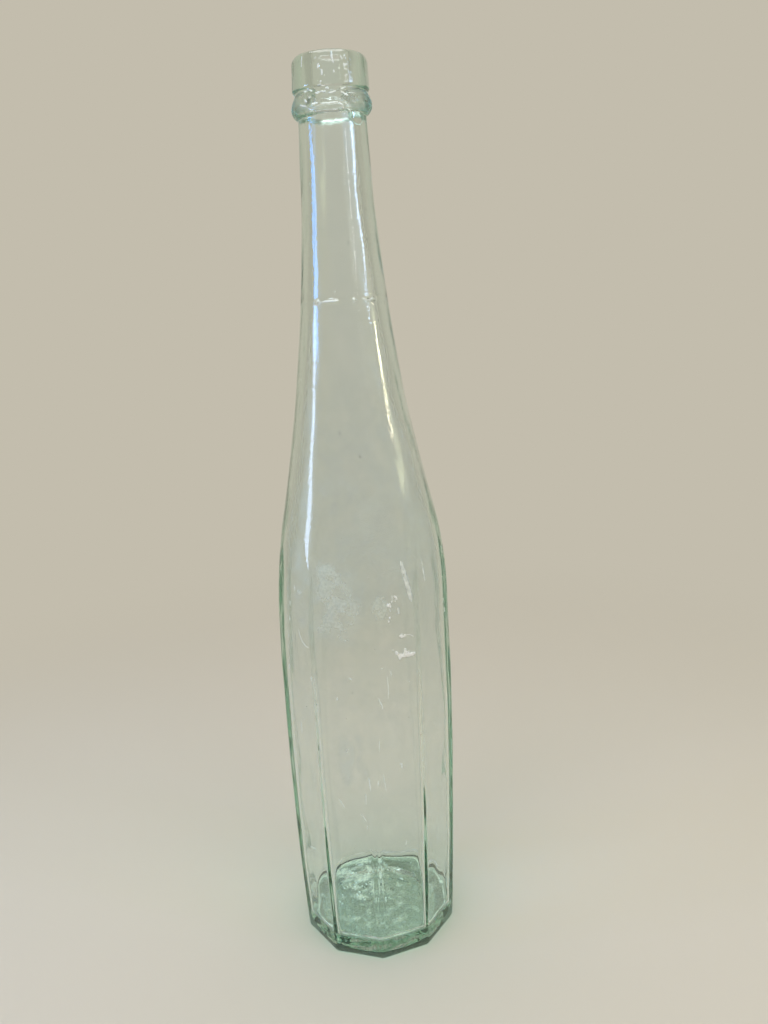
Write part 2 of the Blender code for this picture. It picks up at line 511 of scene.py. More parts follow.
@dataclass(frozen=True)
class BlownBody:
    """The gather that was blown in a ten-sided mould: base, panels, shoulder and neck."""

    height: float = 0.3121
    foot_corner: float = 0.0298
    belly_corner: float = 0.0323
    belly_height: float = 0.100
    round_off_height: float = 0.116
    crown_height: float = 0.1605
    crown_corner: float = 0.02995
    edge_round: float = 0.0027
    arch_softness: float = 0.0006
    heel_round: float = 0.0027
    shoulder_foot: float = 0.134
    shoulder_radius: float = 0.0317
    shoulder_drop: float = 0.030
    shoulder_flare: float = 0.0018
    neck_end_radius: float = 0.0103
    bead_height: float = 0.2407
    bead_swell: float = 0.00072
    bead_half_width: float = 0.0012
    bead_worn: float = 0.32
    bead_back: float = 0.6
    bead_front_from: float = 0.35
    bead_front_blend: float = 0.30
    bead_break_limits: tuple[float, float] = (0.2, 1.5)
    crest_reach: float = 1.25
    crest_blend: float = 0.5
    crest_break: float = 0.3
    bead_crests: tuple[tuple[float, float, float], ...] = (
        (-21.0, 15.0, 0.72), (14.2, 3.5, 0.62), (38.0, 7.0, 0.70),
    )
    wall: float = 0.0034
    bore_radius: float = 0.006
    inner_edge_round: float = 0.0068
    floor_edge_round: float = 0.0048
    edge_widens_from: float = 0.015
    edge_widens_over: float = 0.075
    inner_softness: float = 0.0030
    inner_calm: float = 0.15
    inner_calm_over: float = 0.010
    floor_height: float = 0.007
    floor_rise: float = 0.0016
    floor_rise_radius: float = 0.022
    floor_corner_round: float = 0.0012
    floor_waves: float = 0.8
    push_up_radius: float = 0.0205
    push_up_depth: float = 0.003
    push_up_rim: float = 0.0009
    seam_height: float = 0.00022
    seam_half_width: float = 0.00045
    underside_shift: tuple[float, float] = (1.0, 0.013)
    panels: Panels = Panels()
    shoulder: SmoothCurve = SmoothCurve((
        (0.00, 1.000), (0.05, 0.987), (0.10, 0.944), (0.15, 0.856), (0.21, 0.742), (0.31, 0.570),
        (0.42, 0.401), (0.53, 0.274), (0.64, 0.170), (0.75, 0.093), (0.87, 0.046), (1.00, 0.000),
    ))
    panel_tops: SmoothCurve = SmoothCurve((
        (0.00, 0.00), (0.28, 0.06), (0.58, 0.28), (0.79, 0.58), (1.00, 1.00), (1.80, 2.80),
    ))
    bead_breaks: Ripple = Ripple(13, 0.55, (3, 17), (0.004, 0.012))
    outer_ripple: Ripple = Ripple(11, 0.00003, (2, 8), (0.020, 0.070))
    outer_cords: Ripple = Ripple(12, 0.000010, (9, 22), (0.090, 0.300))
    inner_ripple: Ripple = Ripple(21, 0.00009, (2, 7), (0.020, 0.070))
    inner_cords: Ripple = Ripple(22, 0.00004, (8, 20), (0.060, 0.250))
    base_ripple: Ripple = Ripple(31, 0.00012, (3, 12), (0.004, 0.012))

    def share(self, height: np.ndarray) -> np.ndarray:
        """Part of the way from the shoulder's foot to the neck's end."""
        return (height - self.shoulder_foot) / (self.height - self.shoulder_foot)

    def round_radius(self, height: np.ndarray) -> np.ndarray:
        """Outer radius of the round shoulder and neck.

        Args:
            height: heights, in metres.

        Returns:
            The radii, without the bead.
        """
        drop = (self.shoulder_foot - height) / self.shoulder_drop
        below = self.shoulder_radius + self.shoulder_flare * drop ** 2
        swell = self.shoulder.at(self.share(height))
        above = self.neck_end_radius + (self.shoulder_radius - self.neck_end_radius) * swell
        return np.where(height < self.shoulder_foot, below, above)

    def corner_radius(self, height: np.ndarray) -> np.ndarray:
        """Radius at the panel edges.

        Args:
            height: heights, in metres.

        Returns:
            The radii of the sharp edges, before they are rounded.
        """
        below = np.maximum(1 - height / self.belly_height, 0.0)
        low = self.belly_corner - (self.belly_corner - self.foot_corner) * below ** 2
        way = (height - self.round_off_height) / (self.crown_height - self.round_off_height)
        turned_in = (self.belly_corner - self.crown_corner) * self.panel_tops.at(way)
        return low - np.where(height > self.round_off_height, turned_in, 0.0)

    def bead_left(self, turn: np.ndarray, height: np.ndarray) -> np.ndarray:
        """Share of the neck's bead that the mould filled and wear has left.

        Args:
            turn: angles round the bottle.
            height: heights, in metres.

        Returns:
            The shares: proud at the crests in front, nearly gone at the sides.
        """
        breaks = self.bead_breaks.at(turn, height)
        degrees = np.degrees(facing(turn))
        crests = self.bead_worn
        for middle, half, proud in self.bead_crests:
            off = np.abs(degrees - middle) / half
            crests = crests + proud * smooth_step((self.crest_reach - off) / self.crest_blend)
        front = smooth_step((np.cos(turn) - self.bead_front_from) / self.bead_front_blend)
        back = self.bead_back * np.maximum(-np.cos(turn), 0.0)
        back = back * np.clip(1 + breaks, *self.bead_break_limits)
        return front * crests * (1 + self.crest_break * breaks) + back

    def outer(self, turn: np.ndarray, height: np.ndarray) -> np.ndarray:
        """Outer surface of the body.

        Args:
            turn: angles round the bottle.
            height: heights, in metres.

        Returns:
            The radii, with the mould's bead and the glass's own waves.
        """
        off_bead = np.clip(np.abs(height - self.bead_height) / self.bead_half_width, 0, 1)
        left = self.bead_left(turn, height)
        bead = self.bead_swell * left * np.cos(off_bead * math.pi / 2) ** 2
        flats = self.panels.radius(turn, self.corner_radius(height), self.edge_round)
        shape = softer_of(self.round_radius(height) + bead, flats, self.arch_softness)
        waves = self.outer_ripple.at(turn, height) + self.outer_cords.at(turn, height)
        return shape - 2 * self.outer_ripple.depth + waves

    def wall_at(self, height: np.ndarray) -> np.ndarray:
        """Thickness of the glass, which grows from the body's to the neck's."""
        neck_wall = self.neck_end_radius - self.bore_radius
        return self.wall + (neck_wall - self.wall) * np.clip(self.share(height), 0.0, 1.0)

    def inner(self, turn: np.ndarray, height: np.ndarray) -> np.ndarray:
        """Inner surface of the body.

        Args:
            turn: angles round the bottle.
            height: heights, in metres.

        Returns:
            The radii, with the slow waves that free-blown glass has inside.
        """
        inset = self.wall / math.cos(self.panels.half_turn)
        softened = smooth_step((height - self.edge_widens_from) / self.edge_widens_over)
        widened = self.inner_edge_round - self.floor_edge_round
        edge_round = self.floor_edge_round + widened * softened
        flats = self.panels.radius(turn, self.corner_radius(height) - inset, edge_round)
        hollow = self.round_radius(height) - self.wall_at(height)
        shape = softer_of(hollow, flats, self.inner_softness)
        narrow = (shape - self.bore_radius) / self.inner_calm_over
        narrow = np.clip(narrow, self.inner_calm, 1.0)
        waves = self.inner_ripple.at(turn, height) * narrow + self.inner_cords.at(turn, height)
        return shape + waves

    def floor_at(self, turn: np.ndarray, radius: np.ndarray) -> np.ndarray:
        """Height of the inner floor, which the push-up lifts towards its middle.

        Args:
            turn: angles round the bottle.
            radius: distances from the axis.

        Returns:
            The heights.
        """
        lift = np.maximum(1 - (radius / self.floor_rise_radius) ** 2, 0.0) ** 1.5
        waves = self.base_ripple.at(turn, radius)
        return self.floor_height + self.floor_rise * lift + waves * self.floor_waves

    def underside_at(self, turn: np.ndarray, radius: np.ndarray) -> np.ndarray:
        """Height of the underside, with the push-up and the mould's seam across it.

        Args:
            turn: angles round the bottle.
            radius: distances from the axis.

        Returns:
            The heights, never below the table.
        """
        share = radius / self.push_up_radius
        dome = self.push_up_depth * (1 - share ** 2)
        rim = smooth_step((self.push_up_radius - radius) / self.push_up_rim)
        off_seam = np.clip(np.abs(radius * np.sin(turn)) / self.seam_half_width, 0, 1)
        seam = self.seam_height * np.cos(off_seam * math.pi / 2) ** 2
        turned, further = self.underside_shift
        waves = self.base_ripple.at(turn + turned, radius + further)
        return np.maximum(dome * np.minimum(rim * 2, 1) + rim * (waves - seam), 0.0)


@dataclass(frozen=True)
class StringRing:
    """The bit of glass trailed round the neck, and the drip where its ends lie over."""

    foot: float = 0.2972
    top: float = 0.3040
    ridge: SmoothCurve = SmoothCurve((
        (-0.0012, 0.0000), (-0.0004, 0.0002), (0.0002, 0.0009), (0.0011, 0.0016),
        (0.0026, 0.00205), (0.0038, 0.0019), (0.0050, 0.0015), (0.0060, 0.0010),
        (0.0067, 0.0008), (0.0074, 0.0008),
    ))
    tooled_ridge: SmoothCurve = SmoothCurve((
        (-0.0006, 0.0000), (-0.0002, 0.0004), (0.0001, 0.0014), (0.0004, 0.00195),
        (0.0010, 0.00205), (0.0016, 0.0020), (0.0020, 0.0017), (0.0024, 0.0012),
        (0.0034, 0.0009), (0.0050, 0.0008), (0.0074, 0.0008),
    ))
    tooled_from: float = -38.0
    tooled_to: float = 30.0
    tooled_blend: float = 15.0
    slope: float = 0.0004
    thickness: Ripple = Ripple(41, 0.00010, (2, 6), (0.010, 0.030))
    wrinkles: Ripple = Ripple(42, 0.00004, (7, 34), (0.0018, 0.0060), 22)
    drip_turn: float = math.radians(46)
    drip_height: float = 0.2972
    drip_half_width: float = 0.0035
    drip_half_height: float = 0.0037
    drip_depth: float = 0.0005
    drip_bluntness: float = 0.35
    fade_swell: float = 0.0005
    overlap_swell: float = 0.06
    overlap_half_turn: float = math.radians(9)

    def tooled(self, turn: np.ndarray) -> np.ndarray:
        """Share of the tool's flat crest, which the ring has only in front."""
        degrees = np.degrees(facing(turn))
        begun = smooth_step((degrees - self.tooled_from) / self.tooled_blend)
        return begun * smooth_step((self.tooled_to - degrees) / self.tooled_blend)

    def swell(self, turn: np.ndarray, height: np.ndarray) -> np.ndarray:
        """How far the ring stands off the neck.

        Args:
            turn: angles round the bottle.
            height: heights, in metres.

        Returns:
            The offsets from the neck's own radius.
        """
        tilt = self.slope * np.sin(turn)
        off_lap = facing(turn - self.drip_turn)
        lap = np.exp(-(off_lap / self.overlap_half_turn) ** 2)
        up = height - self.foot - tilt
        ring = self.ridge.at(up)
        ring = ring + (self.tooled_ridge.at(up) - ring) * self.tooled(turn)
        uneven = self.thickness.at(turn, height) + self.wrinkles.at(turn, height)
        swollen = ring * (1 + self.overlap_swell * lap) + uneven
        return np.maximum(swollen * smooth_step(ring / self.fade_swell), 0.0)

    def drip(self, turn: np.ndarray, height: np.ndarray, neck: np.ndarray) -> np.ndarray:
        """How far the drip stands off the neck.

        Args:
            turn: angles round the bottle.
            height: heights, in metres.
            neck: the neck's radii there.

        Returns:
            The offsets, 0 away from the drip.
        """
        off_lap = facing(turn - self.drip_turn)
        across = off_lap * neck / self.drip_half_width
        along = (height - self.drip_height) / self.drip_half_height
        inside = np.maximum(1 - across ** 2 - along ** 2, 0.0)
        return self.drip_depth * inside ** self.drip_bluntness


@dataclass(frozen=True)
class AppliedLip:
    """The gather laid over the neck's end and tooled into a tall collar."""

    seat: float = 0.3043
    top: float = 0.315
    foot_radius: float = 0.0124
    top_radius: float = 0.0119
    foot_round: float = 0.0009
    edge_round: float = 0.0027
    edge_round_back: float = 0.0003
    back_from: float = 0.45
    back_blend: float = 0.45
    bore_round: float = 0.0018
    bore_radius: float = 0.006
    weld_depth: float = 0.00025
    weld_rise: float = 0.0002
    weld_half_height: float = 0.00055
    unevenness: Ripple = Ripple(51, 0.00006, (1, 5), (0.010, 0.040))
    tool_marks: Ripple = Ripple(53, 0.000035, (8, 30), (0.020, 0.120))
    bore_waves: Ripple = Ripple(52, 0.00007, (2, 6), (0.008, 0.030))
    weld_wander: Ripple = Ripple(54, 0.00050, (2, 9), (0.050, 0.200))
    weld_breaks: Ripple = Ripple(55, 0.60, (4, 19), (0.003, 0.010))

    def outer(self, turn: np.ndarray, height: np.ndarray) -> np.ndarray:
        """Outer surface of the collar, with its rounded foot and top edge.

        Args:
            turn: angles round the bottle.
            height: heights, in metres.

        Returns:
            The radii.
        """
        share = np.clip((height - self.seat) / (self.top - self.seat), 0.0, 1.0)
        plain = self.foot_radius + (self.top_radius - self.foot_radius) * share
        low = np.clip((height - self.seat) / self.foot_round, 0.0, 1.0)
        foot = self.foot_round * (1 - np.sqrt(1 - (1 - low) ** 2))
        edge_round = self.edge_round_at(turn)
        high = np.clip(1 - (self.top - height) / edge_round, 0.0, 1.0)
        edge = edge_round * (1 - np.sqrt(1 - high ** 2))
        waves = self.unevenness.at(turn, height) + self.tool_marks.at(turn, height)
        return plain - foot - edge - self.unevenness.depth + waves

    def edge_round_at(self, turn: np.ndarray) -> np.ndarray:
        """Rounding of the top edge, which the tool left tighter at the back."""
        back = smooth_step((-np.cos(turn) - self.back_from) / self.back_blend)
        return self.edge_round + (self.edge_round_back - self.edge_round) * back

    def bore(self, turn: np.ndarray, height: np.ndarray) -> np.ndarray:
        """Bore of the collar.

        Args:
            turn: angles round the bottle.
            height: heights, in metres.

        Returns:
            The radii, with a broken groove where the two gathers meet.
        """
        weld = self.seat + self.weld_rise + self.weld_wander.at(turn, np.zeros_like(height))
        broken = np.clip(1 + self.weld_breaks.at(turn, height), 0.0, 2.0)
        groove = self.weld_depth * broken * np.exp(-((height - weld) / self.weld_half_height) ** 2)
        return self.bore_radius + groove + self.bore_waves.at(turn, height)


@dataclass(frozen=True)
class Bubble:
    """One bubble: its middle, its turn round the bottle, and its half sizes.

    The half sizes go along the turn, inwards and up.
    """

    middle: np.ndarray
    turn: float
    half_sizes: tuple[float, float, float]


@dataclass(frozen=True)
class GlassSeeds:
    """Bubbles in the glass, each a closed hollow of the glass mesh.

    Seeds of the melt are spread through the wall and the base. Where the lip and the ring were
    laid on the neck, air was caught in flat bubbles drawn out round the bottle.
    """

    seed: int = 7
    wall_count: int = 34
    base_count: int = 60
    weld_count: int = 90
    fold_count: int = 16
    smallest: float = 0.00010
    largest: float = 0.00026
    longest_stretch: float = 3.2
    wall_heights: tuple[float, float] = (0.020, 0.292)
    wall_margin: float = 0.0009
    base_reach: float = 0.021
    base_nearest: float = 0.01
    base_margin: float = 0.0010
    base_share: float = 0.9
    weld_heights: tuple[float, float] = (0.3024, 0.3043)
    weld_radii: tuple[float, float] = (0.0078, 0.0098)
    weld_half_depth: float = 0.00012
    weld_stretch: float = 6.0
    weld_half_heights: tuple[float, float] = (0.00008, 0.00020)
    fold_turns: tuple[float, ...] = (math.radians(-30), math.radians(23))
    fold_spread: float = math.radians(4.0)
    fold_radii: tuple[float, float] = (0.0098, 0.0106)
    fold_heights: tuple[float, float] = (0.2980, 0.3022)
    fold_half_lengths: tuple[float, float] = (0.00008, 0.00034)
    fold_half_depth: float = 0.00008
    fold_half_heights: tuple[float, float] = (0.00005, 0.00014)
    sides: int = 10
    rings: int = 6

    def bubble(self, bubble: Bubble) -> Skin:
        """One drawn-out bubble.

        Args:
            bubble: its place and size.

        Returns:
            Its points, and its faces, which look into the hollow.
        """
        unit = [(0.0, 0.0, -1.0)]
        for ring in range(1, self.rings):
            tilt = math.pi * ring / self.rings
            for side in range(self.sides):
                turn = 2 * math.pi * side / self.sides
                across = math.sin(tilt)
                unit.append((across * math.cos(turn), across * math.sin(turn), -math.cos(tilt)))
        unit.append((0.0, 0.0, 1.0))
        along = np.array((math.cos(bubble.turn), math.sin(bubble.turn), 0.0))
        inwards = np.array((-math.sin(bubble.turn), math.cos(bubble.turn), 0.0))
        frame_of_bubble = np.stack((along, inwards, (0.0, 0.0, 1.0)))
        points = bubble.middle + (np.array(unit) * bubble.half_sizes) @ frame_of_bubble
        top = 1 + (self.rings - 2) * self.sides
        return points, [
            *fan_faces(0, 1, self.sides),
            *ring_faces(self.rings - 1, self.sides, 1, outwards=False),
            *fan_faces(len(points) - 1, top, self.sides, turned=True),
        ]


@dataclass
class BottleGlass:
    """All the glass of the bottle as one closed mesh, as it is on the real one."""

    body: BlownBody = field(default_factory=BlownBody)
    ring: StringRing = field(default_factory=StringRing)
    lip: AppliedLip = field(default_factory=AppliedLip)
    seeds: GlassSeeds = field(default_factory=GlassSeeds)
    steps_per_panel: int = 36
    edge_crowding: float = 0.7
    arch_zone: tuple[float, float] = (0.104, 0.166)
    bead_zone: float = 0.004
    ring_zone_from: float = 0.290
    inner_ring_zone_from: float = 0.296
    seat_zone: tuple[float, float] = (0.0003, 0.0012)
    push_up_rings: int = 40
    heel_rings: int = 14
    lip_edge_rings: int = 12
    bore_edge_rings: int = 10
    floor_corner_rings: int = 16
    floor_rings: int = 44
    rest_shares: tuple[float, ...] = (0.12, 0.4, 0.7, 1.0)
    rim_shares: tuple[float, ...] = (0.33, 0.67)
    bore_from: float = 0.3000
    bore_blend: float = 0.004
    skin_depth: float = 0.0006
    chilled_off_bore: float = 0.0025
    chilled_foot_fade: float = 0.0007
    chilled_top_fade: float = 0.0006
    tool_polish: float = 0.85
    back_polish: float = 0.9
    back_from: float = 0.1
    back_blend: float = 0.4
    veil_foot: float = 0.070
    veil_foot_fade: float = 0.060
    veil_top: float = 0.306
    veil_top_fade: float = 0.008
    veil_lowest: float = 0.010
    lean: SmoothCurve = SmoothCurve((
        (0.000, -0.00040), (0.040, -0.00040), (0.075, -0.00020), (0.100, 0.0), (0.122, 0.00004),
        (0.134, 0.00018), (0.150, 0.00060), (0.166, 0.00065), (0.190, 0.00025), (0.215, 0.0),
        (0.250, 0.0), (0.275, -0.00015), (0.300, -0.00012), (0.315, 0.0),
    ))

    def turns(self) -> np.ndarray:
        """Angles round the bottle, closer together at the panel edges."""
        places = np.linspace(-1, 1, self.steps_per_panel, endpoint=False)
        crowded = places + self.edge_crowding * np.sin(math.pi * places) / math.pi
        half = self.body.panels.half_turn
        return np.concatenate([
            (2 * panel + 1 + crowded) * half for panel in range(self.body.panels.count)
        ])

    def outer(self, turn: np.ndarray, height: np.ndarray) -> np.ndarray:
        """Outer surface from the heel to the lip's top edge.

        Args:
            turn: angles round the bottle.
            height: heights, in metres.

        Returns:
            The radii.
        """
        neck = self.body.outer(turn, height)
        ringed = neck + self.ring.swell(turn, height)
        dripped = np.maximum(ringed, neck + self.ring.drip(turn, height, neck))
        return np.where(height > self.lip.seat, self.lip.outer(turn, height), dripped)

    def inner(self, turn: np.ndarray, height: np.ndarray) -> np.ndarray:
        """Inner surface from the lip's bore to the floor's corner.

        Args:
            turn: angles round the bottle.
            height: heights, in metres.

        Returns:
            The radii.
        """
        handover = smooth_step((height - self.bore_from) / self.bore_blend)
        below = self.body.inner(turn, np.minimum(height, self.body.height))
        return below + (self.lip.bore(turn, height) - below) * handover

    def outer_heights(self) -> np.ndarray:
        """Heights of the outer rings of points, closest together at the string ring."""
        body, lip = self.body, self.lip
        arch_foot, arch_top = self.arch_zone
        bead_foot, bead_top = body.bead_height - self.bead_zone, body.bead_height + self.bead_zone
        seat_foot, seat_top = lip.seat - self.seat_zone[0], lip.seat + self.seat_zone[1]
        spans = (
            (body.heel_round, arch_foot, 0.0020), (arch_foot, arch_top, 0.0009),
            (arch_top, bead_foot, 0.0018), (bead_foot, bead_top, 0.00025),
            (bead_top, self.ring_zone_from, 0.0015), (self.ring_zone_from, seat_foot, 0.00014),
            (seat_foot, seat_top, 0.00010), (seat_top, lip.top - lip.edge_round, 0.0005),
        )
        return spaced(spans)

    def inner_heights(self) -> np.ndarray:
        """Heights of the inner rings of points, from the mouth down."""
        floor = self.body.floor_height + self.body.floor_corner_round
        arch_foot, arch_top = self.arch_zone
        neck_top = self.inner_ring_zone_from
        spans = (
            (floor, arch_foot, 0.0024), (arch_foot, arch_top, 0.0014),
            (arch_top, neck_top, 0.0018), (neck_top, self.lip.top - self.lip.bore_round, 0.0005),
        )
        return spaced(spans)[::-1]

    def rows(self) -> list[np.ndarray]:
        """Rings of points from under the base, up the outside and down the inside.

        Returns:
            One array of points for each ring.
        """
        turn = self.turns()
        body, lip = self.body, self.lip
        rows = []

        heel = body.heel_round
        foot_outer = self.outer(turn, np.full_like(turn, heel))
        rest_edge = foot_outer - heel
        for radius in np.linspace(0.0, body.push_up_radius, self.push_up_rings)[1:]:
            rows.append(placed(radius, turn, body.underside_at(turn, np.full_like(turn, radius))))
        for share in self.rest_shares:
            radius = body.push_up_radius + (rest_edge - body.push_up_radius) * share
            rows.append(placed(radius, turn, 0.0))
        for angle in np.linspace(0, math.pi / 2, self.heel_rings)[1:-1]:
            radius = rest_edge + heel * math.sin(angle)
            rows.append(placed(radius, turn, heel * (1 - math.cos(angle))))
        for height in self.outer_heights():
            rows.append(placed(self.outer(turn, np.full_like(turn, height)), turn, height))

        edge_round = lip.edge_round_at(turn)
        edge_height = lip.top - edge_round
        edge_foot = self.outer(turn, edge_height)
        for angle in np.linspace(0, math.pi / 2, self.lip_edge_rings):
            radius = edge_foot - edge_round * (1 - math.cos(angle))
            rows.append(placed(radius, turn, edge_height + edge_round * math.sin(angle)))
        bore_height = lip.top - lip.bore_round
        bore = self.inner(turn, np.full_like(turn, bore_height))
        rim_outer = edge_foot - edge_round
        rim_inner = bore + lip.bore_round
        for share in self.rim_shares:
            rows.append(placed(rim_outer + (rim_inner - rim_outer) * share, turn, lip.top))
        for angle in np.linspace(math.pi / 2, 0, self.bore_edge_rings)[:-1]:
            radius = bore + lip.bore_round * (1 - math.cos(angle))
            rows.append(placed(radius, turn, bore_height + lip.bore_round * math.sin(angle)))

        for height in self.inner_heights():
            rows.append(placed(self.inner(turn, np.full_like(turn, height)), turn, height))
        corner = body.floor_corner_round
        corner_height = body.floor_height + corner
        wall = self.inner(turn, np.full_like(turn, corner_height))
        edge = wall - corner
        rise = body.floor_at(turn, edge) - body.floor_height
        for angle in np.linspace(0, math.pi / 2, self.floor_corner_rings)[1:]:
            radius = edge + corner * math.cos(angle)
            drop = corner_height - corner * math.sin(angle) + rise * (angle / (math.pi / 2)) ** 2
            rows.append(placed(radius, turn, drop))
        for share in np.linspace(1.0, 0.0, self.floor_rings)[1:-1]:
            rows.append(placed(edge * share, turn, body.floor_at(turn, edge * share)))
        return rows

    def shifted(self, points: np.ndarray) -> np.ndarray:
        """Points moved by the slight lean that the bottle's own axis has."""
        moved = points.copy()
        moved[..., 0] += self.lean.at(points[..., 2])
        return moved

    def bubbles(self) -> list[Bubble]:
        """Places and sizes of all the bubbles.

        Returns:
            One entry for each bubble.
        """
        seeds = self.seeds
        chance = np.random.default_rng(seeds.seed)
        found = []
        for _ in range(seeds.wall_count):
            turn, height = chance.uniform(0, 2 * math.pi), chance.uniform(*seeds.wall_heights)
            radius = chance.uniform(seeds.smallest, seeds.largest)
            stretch = chance.uniform(1.0, seeds.longest_stretch)
            low = at_one_place(self.inner, turn, height) + seeds.wall_margin
            high = at_one_place(self.outer, turn, height) - seeds.wall_margin
            middle = placed(low + (high - low) * chance.uniform(0, 1), turn, height)
            found.append(Bubble(middle, turn, (radius, radius, radius * stretch)))
        for _ in range(seeds.base_count):
            turn = chance.uniform(0, 2 * math.pi)
            out = seeds.base_reach * math.sqrt(chance.uniform(seeds.base_nearest, 1))
            low = at_one_place(self.body.underside_at, turn, out) + seeds.base_margin
            high = at_one_place(self.body.floor_at, turn, out) - seeds.base_margin
            radius = chance.uniform(seeds.smallest, seeds.largest) * seeds.base_share
            middle = placed(out, turn, low + (high - low) * chance.uniform(0, 1))
            found.append(Bubble(middle, turn, (radius, radius, radius)))
        for _ in range(seeds.weld_count):
            turn, height = chance.uniform(0, 2 * math.pi), chance.uniform(*seeds.weld_heights)
            middle = placed(chance.uniform(*seeds.weld_radii), turn, height)
            long = seeds.weld_half_depth * seeds.weld_stretch ** chance.uniform(0, 1)
            tall = chance.uniform(*seeds.weld_half_heights)
            found.append(Bubble(middle, turn, (long, seeds.weld_half_depth, tall)))
        for middle_turn in seeds.fold_turns:
            for _ in range(seeds.fold_count):
                turn = middle_turn + chance.normal(0, seeds.fold_spread)
                out = chance.uniform(*seeds.fold_radii)
                middle = placed(out, turn, chance.uniform(*seeds.fold_heights))
                long = chance.uniform(*seeds.fold_half_lengths)
                tall = chance.uniform(*seeds.fold_half_heights)
                found.append(Bubble(middle, turn, (long, seeds.fold_half_depth, tall)))
        return found

    def mesh(self) -> bpy.types.Mesh:
        """Build the closed glass mesh with its bubbles.

        Returns:
            The mesh, smooth all over.
        """
        rows = self.rows()
        columns = rows[0].shape[0]
        underside = placed(0.0, 0.0, float(rows[0][:, 2].mean()))
        floor = placed(0.0, 0.0, float(rows[-1][:, 2].mean()))
        last_row, last = 1 + (len(rows) - 1) * columns, 1 + len(rows) * columns
        wall = np.concatenate([underside[None, :], *rows, floor[None, :]]), [
            *fan_faces(0, 1, columns, turned=True),
            *ring_faces(len(rows), columns, 1),
            *fan_faces(last, last_row, columns),
        ]
        hollows = [self.seeds.bubble(bubble) for bubble in self.bubbles()]
        points, faces = joined([wall, *hollows])
        return new_mesh("bottle_glass", self.shifted(points), faces)

    def skins(self, mesh: bpy.types.Mesh) -> tuple[np.ndarray, np.ndarray]:
        """Where the glass has a skin of another gloss.

        Args:
            mesh: the finished glass mesh.

        Returns:
            Shares for each point: of the string ring's chilled skin, which only its sides have,
            and of the inner wall's greasy veil, which ends above the panels' feet.
        """
        spots = np.empty(len(mesh.vertices) * 3)
        mesh.vertices.foreach_get("co", spots)
        spots = spots.reshape(-1, 3)
        turn, height = np.arctan2(spots[:, 0], -spots[:, 1]), spots[:, 2]
        out = np.hypot(spots[:, 0], spots[:, 1])
        bore = self.inner(turn, np.clip(height, self.veil_lowest, self.lip.top))
        inner = bore + self.skin_depth
        band = smooth_step((height - self.ring.foot) / self.chilled_foot_fade)
        band = band * smooth_step((self.lip.seat - height) / self.chilled_top_fade)
        back = smooth_step((-np.cos(turn) - self.back_from) / self.back_blend)
        frosty = (1 - self.tool_polish * self.ring.tooled(turn)) * (1 - self.back_polish * back)
        chilled = np.where(out > inner + self.chilled_off_bore, band * frosty, 0.0)
        tall = smooth_step((height - self.veil_foot) / self.veil_foot_fade)
        tall = tall * smooth_step((self.veil_top - height) / self.veil_top_fade)
        veiled = np.where(out < inner, tall, 0.0)
        return chilled.astype(np.float32), veiled.astype(np.float32)

    def build(self) -> bpy.types.Object:
        """Build and dress the glass.

        Returns:
            The glass object, which stands for the three CAD nodes.
        """
        mesh = self.mesh()
        chilled, veiled = self.skins(mesh)
        for name, share in (("chilled", chilled), ("veiled", veiled)):
            mesh.attributes.new(name, 'FLOAT', 'POINT').data.foreach_set("value", share)
        piece = new_piece(mesh, SodaLimeGlass().material())
        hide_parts("blown_body", "applied_lip", "string_ring")
        return piece


